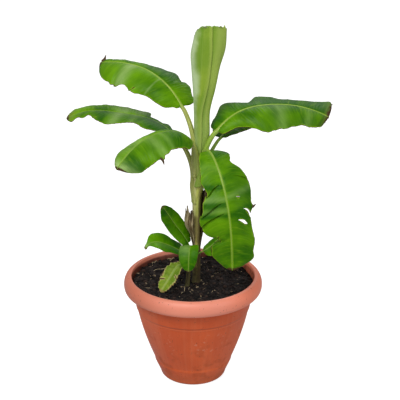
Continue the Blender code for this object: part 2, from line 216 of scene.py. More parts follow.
def srgb(red, green, blue):
    """A colour as seen on screen, 0 to 255, turned into the linear values that shaders use."""
    channels = [channel / 255 for channel in (red, green, blue)]
    linear = [value / 12.92 if value <= 0.04045 else ((value + 0.055) / 1.055) ** 2.4
              for value in channels]
    return (*linear, 1.0)


bpy.ops.mesh.primitive_circle_add(vertices=96, radius=FLOOR_RADIUS, fill_type="NGON")
floor = bpy.context.object
floor.name = "floor"
floor_paint = bpy.data.materials.new("floor_paint")
floor_paint.use_nodes = True
floor_shader = floor_paint.node_tree.nodes["Principled BSDF"]
floor_shader.inputs["Base Color"].default_value = srgb(190, 190, 190)
floor_shader.inputs["Roughness"].default_value = 0.9
floor_shader.inputs["Specular IOR Level"].default_value = 0.1
floor_shader.inputs["Emission Color"].default_value = WHITE
seen = put(floor_paint.node_tree, "ShaderNodeLightPath").output("is camera ray")
feed(floor_paint.node_tree, floor_shader.inputs["Emission Strength"], seen * FLOOR_GLOW)
floor.data.materials.append(floor_paint)

world = bpy.data.worlds.new("soft_daylight")
world.use_nodes = True
background = world.node_tree.nodes["Background"]
background.inputs["Color"].default_value = WHITE
seen = put(world.node_tree, "ShaderNodeLightPath").output("is camera ray")
feed(world.node_tree, background.inputs["Strength"], seen * (1.0 - DAYLIGHT) + DAYLIGHT)
bpy.context.scene.world = world
bpy.context.scene.view_settings.view_transform = "Standard"


def add_lamp(name, place, size, power):
    """A square lamp at place that shines at the middle of the plant."""
    lamp = bpy.data.lights.new(name, "AREA")
    lamp.shape = "SQUARE"
    lamp.size = size
    lamp.energy = power
    lamp_object = into_scene(name, lamp)
    lamp_object.location = place
    way = PLANT_MIDDLE - np.array(place)
    tilt = math.atan2(math.hypot(way[0], way[1]), -way[2])
    lamp_object.rotation_euler = (tilt, 0.0, math.atan2(way[1], way[0]) - math.pi / 2)


add_lamp("key_lamp", (-0.8, -2.0, 2.9), 1.5, 66.0)
add_lamp("fill_lamp", (2.4, -1.8, 1.7), 2.0, 14.0)
add_lamp("back_lamp", (0.6, 2.4, 2.4), 1.8, 14.0)
print("three lamps and a floor of", FLOOR_RADIUS, "m")

# %% [markdown]
# ## Effects that several finishes share
# Plant surfaces vary at every scale: slow drifts from yellow-green to deep green, fine streaks
# along the veins, and dry brown where an edge was torn or scorched. Each of these is one shader
# group with named inputs, so a leaf, a sheath and a husk can use it with values of their own.


# %% Shader groups: patches, streaks and dry edges
def patches_group():
    """A slow, cloudy change from 0 to 1, for colour drifts and stains."""
    tree, given, result = new_group("patches", "ShaderNodeTree", {
        "Vector": "Vector", "Scale": 10.0, "Low": 0.4, "High": 0.6, "Detail": 3.0},
        {"Mask": "Float"})
    drift = cloud(tree, given["Vector"], given["Scale"], given["Detail"])
    feed(tree, result, smooth_range(tree, drift, given["Low"], given["High"]))
    return tree


def streaks_group():
    """Long thin streaks: noise that changes fast along x and y of the vector and slowly along z."""
    tree, given, result = new_group("streaks", "ShaderNodeTree", {
        "Vector": "Vector", "Across Count": 60.0, "Along Count": 2.0}, {"Streak": "Float"})
    parts = put(tree, "ShaderNodeSeparateXYZ", vector=given["Vector"])
    place = combined(tree, parts.output("x") * given["Across Count"],
                     parts.output("y") * given["Across Count"],
                     parts.output("z") * given["Along Count"])
    feed(tree, result, cloud(tree, place, 1.0, 3.0, roughness=0.6))
    return tree


def dry_edge_group():
    """1 where the surface lies near an edge, with a ragged border, and 0 further in."""
    tree, given, result = new_group("dry_edge", "ShaderNodeTree", {
        "Distance": 0.0, "Width": 0.002, "Vector": "Vector", "Raggedness": 1.0}, {"Mask": "Float"})
    rag = cloud(tree, given["Vector"], 60.0, 4.0)
    reach = given["Width"] * (1.0 + given["Raggedness"] * (rag * 4.0 - 2.0))
    reach = reach.math("MAXIMUM", 0.00005)
    feed(tree, result, smooth_range(tree, given["Distance"], reach, reach * 0.4))
    return tree


PATCHES = patches_group()
STREAKS = streaks_group()
DRY_EDGE = dry_edge_group()
print("groups:", PATCHES.name, STREAKS.name, DRY_EDGE.name)


# %% A finish under way
class Finish:
    """A material under way: its node tree, its Principled shader, its coordinates and its colour.
    A colour is three screen values, or a field."""

    def __init__(self, name, roughness, specular=0.5):
        self.material = bpy.data.materials.new(name)
        self.material.use_nodes = True
        self.tree = self.material.node_tree
        self.shader = self.tree.nodes["Principled BSDF"]
        self.shader.inputs["Roughness"].default_value = roughness
        self.shader.inputs["Specular IOR Level"].default_value = specular
        self.place = put(self.tree, "ShaderNodeTexCoord").output("object")
        self.colour = None

    def read(self, name, kind="fac"):
        return put(self.tree, "ShaderNodeAttribute", {"attribute_name": name}).output(kind)

    def read_all(self, *names):
        return [self.read(name) for name in names]

    def use(self, group, **values):
        return put(self.tree, "ShaderNodeGroup", {"node_tree": group}, **values)

    def patches(self, scale, low, high, detail=3.0):
        return self.use(PATCHES, vector=self.place, scale=scale, low=low, high=high, detail=detail)

    def streaks(self, vector, across_count, along_count):
        return self.use(STREAKS, vector=vector, across_count=across_count, along_count=along_count)

    def part(self, vector, axis):
        return put(self.tree, "ShaderNodeSeparateXYZ", vector=vector).output(axis)

    def ramp(self, value, start, end):
        return smooth_range(self.tree, value, start, end)

    def band(self, value, start, full, fading, end):
        """1 between full and fading, 0 before start and after end."""
        return self.ramp(value, start, full) * self.ramp(value, end, fading)

    def blend(self, share, first, second):
        """The colour first where share is 0 and second where it is 1."""
        first, second = [srgb(*one) if isinstance(one, tuple) else one for one in (first, second)]
        return put(self.tree, "ShaderNodeMix", {"data_type": "RGBA"}, factor=share, a=first, b=second)

    def base(self, share, first, second):
        """Start the finish with a blend of two colours."""
        self.colour = self.blend(share, first, second)

    def lay(self, share, colour):
        """Lay a colour over the finish, as far as share says."""
        self.colour = self.blend(share, self.colour, colour)

    def bump(self, height, distance, strength=1.0, **under):
        """A normal from a height from 0 to 1 that stands for distance, in metres."""
        return put(self.tree, "ShaderNodeBump", height=height, distance=distance, strength=strength,
                   **under)

    def done(self, normal, roughness=None):
        feed(self.tree, self.shader.inputs["Base Color"], self.colour)
        feed(self.tree, self.shader.inputs["Normal"], normal)
        if roughness is not None:
            feed(self.tree, self.shader.inputs["Roughness"], roughness)
        return self.material


# %% [markdown]
# ## The leaf's surface
# A banana leaf is a smooth, slightly waxy sheet. Parallel side veins run out from the midrib and
# give it fine ribs, lighter lines and a striped sheen. The blade carries its own numbers, made
# together with its shape: vein (which vein a point lies on), side, rib (metres from the midrib),
# edge (metres from the margin) and along. The finish reads those, so it follows the leaf however
# it bends. The underside is paler and duller, so it is a second material on the same blade.


# %% Leaf finish
def leaf_finish(name, deep, bright, rib_colour, dry_colour, roughness, vein_count=70.0,
                dry_width=0.0016, tip_dry=0.985, sheen=0.28, rib_pale=0.6):
    finish = Finish(name, roughness, specular=0.09)
    vein, side, from_rib, from_edge, along, tone, pale_sheen = finish.read_all(
        "vein", "side", "rib", "edge", "along", "tone", "pale_sheen")
    drift = finish.patches(9.0, 0.36, 0.64)
    grain = combined(finish.tree, vein, side > 0.0, side)
    bands = finish.ramp(finish.streaks(grain, 9.0, 0.7), 0.35, 0.65)
    finish.base(tone + (drift - 0.5) * 0.45 + (bands - 0.5) * 0.35, deep, bright)
    lines = finish.streaks(grain, vein_count, 1.2)
    pale_lines = finish.ramp(lines, 0.52, 0.78) * finish.ramp(from_edge, 0.0, 0.010)
    finish.lay(pale_lines * sheen, rib_colour)
    # Painted sheen: where this value is above 0 the blade is laid paler, as a bright patch of reflected
    # light; below 0 it is laid brown, where the leaf is scorched.
    uneven = pale_sheen * (bands * 0.5 + 0.7)
    finish.lay(uneven, (162, 190, 116))
    finish.lay(uneven * -1.0, (116, 104, 52))
    finish.lay(finish.ramp(from_rib, 0.0045, 0.0008) * rib_pale, rib_colour)

    def dry_edge(width, raggedness):
        return finish.use(DRY_EDGE, distance=from_edge, width=width, vector=finish.place,
                          raggedness=raggedness)

    finish.lay(dry_edge(dry_width * 2.2, 0.9) * 0.55, rib_colour)
    dry_tip = finish.ramp(along + (finish.patches(45.0, 0.3, 0.7) - 0.5) * 0.02,
                          tip_dry - 0.012, tip_dry + 0.004)
    dryness = dry_edge(dry_width, 1.4).math("MAXIMUM", dry_tip)
    finish.lay(dryness, dry_colour)

    normal = finish.bump(lines, 0.00035, 0.6)
    normal = finish.bump(finish.patches(420.0, 0.2, 0.8, 2.0), 0.00012, 0.5, normal=normal)
    gloss = finish.patches(14.0, 0.3, 0.7) * 0.12
    return finish.done(normal, gloss + (roughness - 0.06) + dryness * 0.35)


LEAF_UPPER = leaf_finish("leaf_upper_side", (42, 96, 0), (108, 162, 0), (150, 188, 36),
                         (74, 52, 30), 0.42)
LEAF_LOWER = leaf_finish("leaf_underside", (92, 128, 40), (124, 156, 60), (170, 188, 100),
                         (92, 68, 42), 0.55)
print("leaf finishes:", LEAF_UPPER.name, LEAF_LOWER.name)

# %% [markdown]
# ## The leaf rule
# A leaf is a midrib and two half blades. The midrib is a path that starts upright on the stem,
# arches over and droops to its tip, given by the angles at which it climbs and the compass
# directions that it takes. The half width rises from a rounded base to the middle and falls to the
# tip, and each half bends down in an arc from the rib. The plain solids are made by the same
# rule. One Geometry Nodes tree then grows the blade along the midrib's path, because all the leaves
# differ only in their numbers.


# %% Smooth curves through a few values
def smooth(stations, values, x):
    """Read a smooth curve through the values at the stations, at x (a number or an array)."""
    stations, values, x = [np.asarray(one, float) for one in (stations, values, x)]
    chords = np.diff(values) / np.diff(stations)
    slopes = np.concatenate([chords[:1], (chords[:-1] + chords[1:]) / 2, chords[-1:]])
    i = np.clip(np.searchsorted(stations, x, side="right") - 1, 0, len(stations) - 2)
    span = stations[i + 1] - stations[i]
    s = (x - stations[i]) / span
    start_weight = 2 * s ** 3 - 3 * s ** 2 + 1
    end_weight = 3 * s ** 2 - 2 * s ** 3
    bend = (s ** 3 - 2 * s ** 2 + s) * slopes[i] + (s ** 3 - s ** 2) * slopes[i + 1]
    return start_weight * values[i] + end_weight * values[i + 1] + span * bend


def soft_step(x, start, end):
    """0 at start, 1 at end and smooth between them."""
    share = np.clip((np.asarray(x, float) - start) / (end - start), 0, 1)
    return share * share * (3 - 2 * share)


def direction(bearing):
    angle = math.radians(bearing)
    return np.array([math.cos(angle), math.sin(angle), 0.0])


# %% The midrib's path
MIDRIB_POINTS = 400


def midrib(leaf):
    """The leaf's rib from its root to its tip: distances, points, and the unit vectors that point
    to the leaf's left and out of its upper side."""
    stalk, blade = leaf["stalk"], leaf["blade"]
    length = stalk + blade
    distance = np.linspace(0.0, length, MIDRIB_POINTS)
    stations = (0.0, stalk, stalk + blade / 3, stalk + blade * 2 / 3, length)
    climb = np.radians(smooth(stations, leaf["rise"], distance))
    compass = np.radians(smooth((0.0, stalk, length), leaf["bearing"], distance))
    heading = np.stack([np.cos(climb) * np.cos(compass),
                        np.cos(climb) * np.sin(compass), np.sin(climb)], axis=1)
    moves = (heading[:-1] + heading[1:]) / 2 * length / (MIDRIB_POINTS - 1)
    points = leaf["root"] + np.vstack([np.zeros(3), np.cumsum(moves, axis=0)])
    level = np.stack([-np.sin(compass), np.cos(compass), np.zeros_like(compass)], axis=1)
    up = np.cross(heading, level)
    along = np.clip((distance - stalk) / blade, 0, 1)
    roll = np.radians(smooth((0.0, 0.5, 1.0), leaf["roll"], along))[:, None]
    return (distance, points, level * np.cos(roll) + up * np.sin(roll),
            up * np.cos(roll) - level * np.sin(roll))


# %% The half widths, with the torn places that the photograph shows
OUTLINE_ROUNDNESS = 1.8
STEP_START = 0.012
NARROWEST = 0.0006


def width_share(leaf, along, base_end, tip_end):
    """Half width along the blade as a share of its greatest: 0 at both ends."""
    widest = leaf["widest"]
    before = along < widest
    away = np.where(before, (widest - along) / widest, (along - widest) / (1 - widest))
    bluntness = np.where(before, base_end, tip_end)
    return np.maximum(0.0, 1 - np.clip(away, 0, 1) ** bluntness) ** (1 / OUTLINE_ROUNDNESS)


def half_widths(leaf, along, side):
    """Half width along the blade, in metres, for the side "left" or "right"."""
    share = width_share(leaf, along, leaf.get("base_" + side, leaf["ends"][0]),
                        leaf.get("tip_" + side, leaf["ends"][1]))
    half = leaf["half"][0 if side == "left" else 1] * share
    for notch_side, place, reach, depth in leaf.get("notches", ()):
        if notch_side == side:
            half = half * (1 - depth * np.exp(-((along - place) / reach) ** 2))
    for step_side, start, end, fade, keep in leaf.get("steps", ()):
        if step_side == side:
            inside = soft_step(along, start, start + STEP_START) * soft_step(along, end, end - fade)
            half = half * (1 - (1 - keep) * inside)
    return np.maximum(half, NARROWEST)


def lobe_reach(leaf, along, side):
    """How far the base's lobe reaches back beside the stalk, as a share of the blade."""
    reach = leaf.get("lobe_" + side, leaf["lobe"]) * (1 - along) ** 3
    return reach * width_share(leaf, along, leaf.get("base_" + side, leaf["ends"][0]), 2)


# %% Meshes that carry values at their points
def set_values(mesh, **values):
    """Give every point of a mesh named values, each a number or a vector."""
    for name, one in values.items():
        one = np.asarray(one, float)
        kind, key = ("FLOAT_VECTOR", "vector") if one.size > len(mesh.vertices) else ("FLOAT", "value")
        mesh.attributes.new(name, kind, "POINT").data.foreach_set(key, one.ravel())


def read_values(mesh, name):
    values = np.empty(len(mesh.vertices))
    mesh.attributes[name].data.foreach_get("value", values)
    return values


def drawn(name, points, edges=(), faces=(), **values):
    mesh = bpy.data.meshes.new(name)
    mesh.from_pydata(points.tolist(), edges, faces)
    set_values(mesh, **values)
    return into_scene(name, mesh)


def midrib_line(name, leaf):
    """A line along the midrib that carries what the blade needs at each of its points."""
    distance, points, left, above = midrib(leaf)
    along = np.clip((distance - leaf["stalk"]) / leaf["blade"], 0, 1)
    numbers = {start + side: rule(leaf, along, side) for side in ("left", "right")
               for start, rule in (("half_", half_widths), ("lobe_", lobe_reach))}
    return drawn(name, points, [(i, i + 1) for i in range(len(points) - 1)], **numbers, left=left,
                 above=above)


# %% [markdown]
# ## The blade tree
# The tree starts from a flat grid. Its rows become side veins, which run out from the rib and lean
# towards the tip, and its columns run along the leaf. For every grid point it reads the midrib's
# place, its left and its upper side, and the half width there, and bends the half blade in an arc.
# Small ridges along the veins, a slow ruffle at the margin and a groove along the rib follow.

# %% Nodes that every shape tree needs
MESH = {"Geometry": "Geometry"}


def named(tree, name, kind="FLOAT"):
    return put(tree, "GeometryNodeInputNamedAttribute", {"data_type": kind}, name=name)


def store(tree, geometry, name, value, kind="FLOAT", domain="POINT"):
    return put(tree, "GeometryNodeStoreNamedAttribute", {"data_type": kind, "domain": domain},
               geometry=geometry, name=name, value=value)


def scaled(tree, vector, number):
    return put(tree, "ShaderNodeVectorMath", {"operation": "SCALE"}, vector=vector, scale=number)


def total(tree, first, second):
    return calculate(tree, "ShaderNodeVectorMath", "ADD", first, second)


def end_tree(tree, result, geometry, material):
    """Every tree ends with plain meshes that carry their material."""
    whole = put(tree, "GeometryNodeRealizeInstances", geometry=geometry)
    feed(tree, result, put(tree, "GeometryNodeSetMaterial", geometry=whole, material=material))
    return tree


# %% Geometry Nodes: grow a blade along a midrib
EVEN_ROWS = 0.45
GROOVE_HALF_WIDTH = 0.0035


def blade_tree():
    tree, given, result = new_group("grow_blade", "GeometryNodeTree", {
        **MESH, "Rows": 150, "Columns": 41, "Stalk Share": 0.3, "Fold Left": 0.2, "Fold Right": 0.2,
        "Droop Left": 0.7, "Droop Right": 0.7, "Lobe Start": 0.007, "Vein Lean": 0.10,
        "Vein Count": 34.0, "Vein Height": 0.0004, "Ruffle": 0.004, "Ruffle Count": 7.0,
        "Ragged": 0.02, "Groove": 0.0012, "Cockle": 0.003, "Seed": 0.0, "Material": "Material"},
        MESH)
    rib_curve = put(tree, "GeometryNodeMeshToCurve", mesh=given["Geometry"])

    def sample(name, factor, kind="FLOAT"):
        return put(tree, "GeometryNodeSampleCurve", {"data_type": kind, "mode": "FACTOR"},
                   curves=rib_curve, value=named(tree, name, kind), factor=factor)

    grid = put(tree, "GeometryNodeMeshGrid", size_x=1.0, size_y=2.0, vertices_x=given["Rows"],
               vertices_y=given["Columns"])
    flat = put(tree, "ShaderNodeSeparateXYZ", vector=put(tree, "GeometryNodeInputPosition"))
    sheet = store(tree, grid, "row", (flat.output("x") + 0.5) * (given["Rows"] - 1.0))
    row_share = named(tree, "row") / (given["Rows"] - 1.0)
    drawn_to_ends = (row_share * EVEN_ROWS
                     + (0.5 - (row_share * math.pi).math("COSINE") * 0.5) * (1.0 - EVEN_ROWS))
    sheet = store(tree, sheet, "vein", drawn_to_ends)
    sheet = store(tree, sheet, "side", flat.output("y"))

    vein, side = named(tree, "vein"), named(tree, "side")
    across = side.math("ABSOLUTE")
    on_left = side > 0.0
    on_right = 1.0 - on_left

    def chosen(left, right):
        """The first value on the left half and the second on the right half."""
        return left * on_left + right * on_right

    def uneven(x, y, seed_step, detail):
        return cloud(tree, combined(tree, x, y, given["Seed"] + seed_step), 1.0, detail)

    lean = across * across * vein * (1.0 - vein) * 4.0 * given["Vein Lean"]
    along = vein + lean
    blade_share = 1.0 - given["Stalk Share"]
    factor = given["Stalk Share"] + along * blade_share
    half = chosen(sample("half_left", factor), sample("half_right", factor))
    rag = uneven(along * 26.0, on_left * 5.0, 0.0, 4.0)
    half = half * (1.0 + (rag - 0.5) * 2.0 * given["Ragged"])
    sheet = store(tree, sheet, "along", along)
    sheet = store(tree, sheet, "half", half)
    half, along = named(tree, "half"), named(tree, "along")

    off_rib = (across - given["Lobe Start"] / half).math("MAXIMUM", 0.0)
    lobe = chosen(sample("lobe_left", factor), sample("lobe_right", factor))
    place = given["Stalk Share"] + (along - lobe * off_rib) * blade_share

    fold = chosen(given["Fold Left"], given["Fold Right"])
    droop = chosen(given["Droop Left"], given["Droop Right"])
    bend = fold - droop * across
    out = (fold.math("SINE") - bend.math("SINE")) / droop
    lift = (bend.math("COSINE") - fold.math("COSINE")) / droop

    from_rib = half * across
    drift = uneven(vein * 9.0, side * 0.6, 5.0, 1.0)
    ridges = ((vein * given["Vein Count"] + drift * 6.0) * 2.0 * math.pi).math("SINE")
    ridges = ridges * (drift * 2.4 - 0.5).math("MAXIMUM", 0.0)
    ridge_fade = (across * 5.0).math("MINIMUM", 1.0) * (1.0 - across * 0.6)
    ruffle = uneven(along * given["Ruffle Count"], on_left * 7.0, 3.0, 1.0)
    cockle = uneven(vein * 13.0, side * 1.2, 9.0, 2.0)
    groove = (0.0 - (from_rib / GROOVE_HALF_WIDTH) ** 2.0).math("EXPONENT")
    rise = (half * lift + ridges * ridge_fade * given["Vein Height"]
            + (ruffle - 0.5) * 2.0 * given["Ruffle"] * across * across
            + (cockle - 0.5) * 2.0 * given["Cockle"] * across
            - groove * given["Groove"])

    rib_place = put(tree, "GeometryNodeSampleCurve", {"mode": "FACTOR"}, curves=rib_curve,
                    factor=place)
    left, above = [sample(name, place, "FLOAT_VECTOR") for name in ("left", "above")]
    sideways = (on_left * 2.0 - 1.0) * half * out
    shift = total(tree, scaled(tree, left, sideways), scaled(tree, above, rise))
    sheet = store(tree, sheet, "rib", from_rib)
    sheet = store(tree, sheet, "edge", half * (1.0 - across))
    sheet = store(tree, sheet, "forward", rib_place.output("tangent"), "FLOAT_VECTOR")
    sheet = store(tree, sheet, "above", above, "FLOAT_VECTOR")
    sheet = put(tree, "GeometryNodeSetPosition", geometry=sheet,
                position=total(tree, rib_place.output("position"), shift))
    return end_tree(tree, result, sheet, given["Material"])


BLADE_TREE = blade_tree()
print("blade tree with", len(BLADE_TREE.nodes), "nodes")

# %% [markdown]
# ## The tear tree
# Wind tears a banana leaf along its side veins, from the margin towards the rib. A tear splits the
# blade along one row of the grid, draws the two strips apart along the leaf, and lets the one
# nearer the tip hang a little lower. A tear that closes again before the margin is a slit. A
# fresh tear has a green edge, and with an opening below 0 its strips overlap.
# Splitting gives both strips their own points in one place, and a face knows on which side it is.


# %% Geometry Nodes: tear a blade between two veins
WIDENS_OVER = 0.35
SLIT_CLOSES_OVER = 0.16
EDGE_STARTS_OVER = 0.06
FAR_FROM_EDGE = 0.02


def tear_tree():
    tree, given, result = new_group("tear_blade", "GeometryNodeTree", {
        **MESH, "Tear Row": 50.0, "Side": 1.0, "Start": 0.5, "End": 2.0, "Opening": 0.002,
        "Sag": 0.003, "Reach": 9.0, "Row Width": 0.0011, "Green Edge": 0.0, "Material": "Material"},
        MESH)
    across = named(tree, "side") * given["Side"]
    past = named(tree, "row") - given["Tear Row"]
    away = past.math("ABSOLUTE")
    beyond = (past > 0.0) * 2.0 - 1.0
    sided = store(tree, given["Geometry"], "beyond", beyond, domain="FACE")
    torn = (away < 0.1) * (across > given["Start"]) * (across < given["End"])
    split = put(tree, "GeometryNodeSplitEdges", mesh=sided, selection=torn)

    def between(value, low, high):
        return ((value - low) / (high - low)).math("MAXIMUM", 0.0).math("MINIMUM", 1.0)

    def inside(first, last):
        """0 at the tear's two ends, and 1 past these distances from them."""
        return (between(across, given["Start"], given["Start"] + first)
                * between(across, given["End"], given["End"] - last))

    opened = inside(WIDENS_OVER, SLIT_CLOSES_OVER)
    fade = (0.0 - away / given["Reach"]).math("EXPONENT")
    beyond = named(tree, "beyond")
    push = scaled(tree, named(tree, "forward", "FLOAT_VECTOR"),
                  beyond * opened * fade * given["Opening"])
    hang = scaled(tree, named(tree, "above", "FLOAT_VECTOR"),
                  (beyond > 0.0) * opened * fade * given["Sag"] * -1.0)
    moved = put(tree, "GeometryNodeSetPosition", geometry=split, offset=total(tree, push, hang))
    untorn = 1.0 - inside(EDGE_STARTS_OVER, EDGE_STARTS_OVER)
    from_tear = away * given["Row Width"] + untorn * FAR_FROM_EDGE + given["Green Edge"]
    edged = store(tree, moved, "edge", named(tree, "edge").math("MINIMUM", from_tear))
    return end_tree(tree, result, edged, given["Material"])


TEAR_TREE = tear_tree()
print("tear tree with", len(TEAR_TREE.nodes), "nodes")


# %% Set a tree's inputs, bake modifiers, give a sheet its thickness, hand a piece over
def add_tree(piece, tree, **values):
    """Put a Geometry Nodes tree on a piece and set its inputs by name, with _ for a space."""
    modifier = piece.modifiers.new(tree.name, "NODES")
    modifier.node_group = tree
    sockets = {one.name.lower().replace(" ", "_"): one.identifier
               for one in tree.interface.items_tree if one.in_out == "INPUT"}
    for name, value in values.items():
        modifier[sockets[name]] = value


def bake(piece):
    """Swap a piece's modifiers for the plain mesh that they make."""
    graph = bpy.context.evaluated_depsgraph_get()
    piece.data = bpy.data.meshes.new_from_object(
        piece.evaluated_get(graph), preserve_all_data_layers=True, depsgraph=graph)
    piece.modifiers.clear()
    piece.data.name = piece.name


def dress(piece, *materials):
    piece.data.materials.clear()
    for material in materials:
        piece.data.materials.append(material)


def thicken(piece, thickness, *materials):
    """Turn a sheet into a thin solid, which grows on the side away from its normals. The last
    material is the one of that side."""
    bake(piece)
    dress(piece, *materials)
    shell = piece.modifiers.new("thickness", "SOLIDIFY")
    shell.thickness = thickness
    shell.offset = -1.0
    shell.material_offset = len(materials) - 1
    bake(piece)
    piece.data.shade_smooth()


def hand_over(piece, slot, *nodes):
    """Hang a piece on the root body and hide the solids that it stands for. slot is not used."""
    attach(piece, "root")
    if nodes:
        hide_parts(*nodes)
    print(piece.name, "has", sum(len(face.vertices) - 2 for face in piece.data.polygons), "triangles")
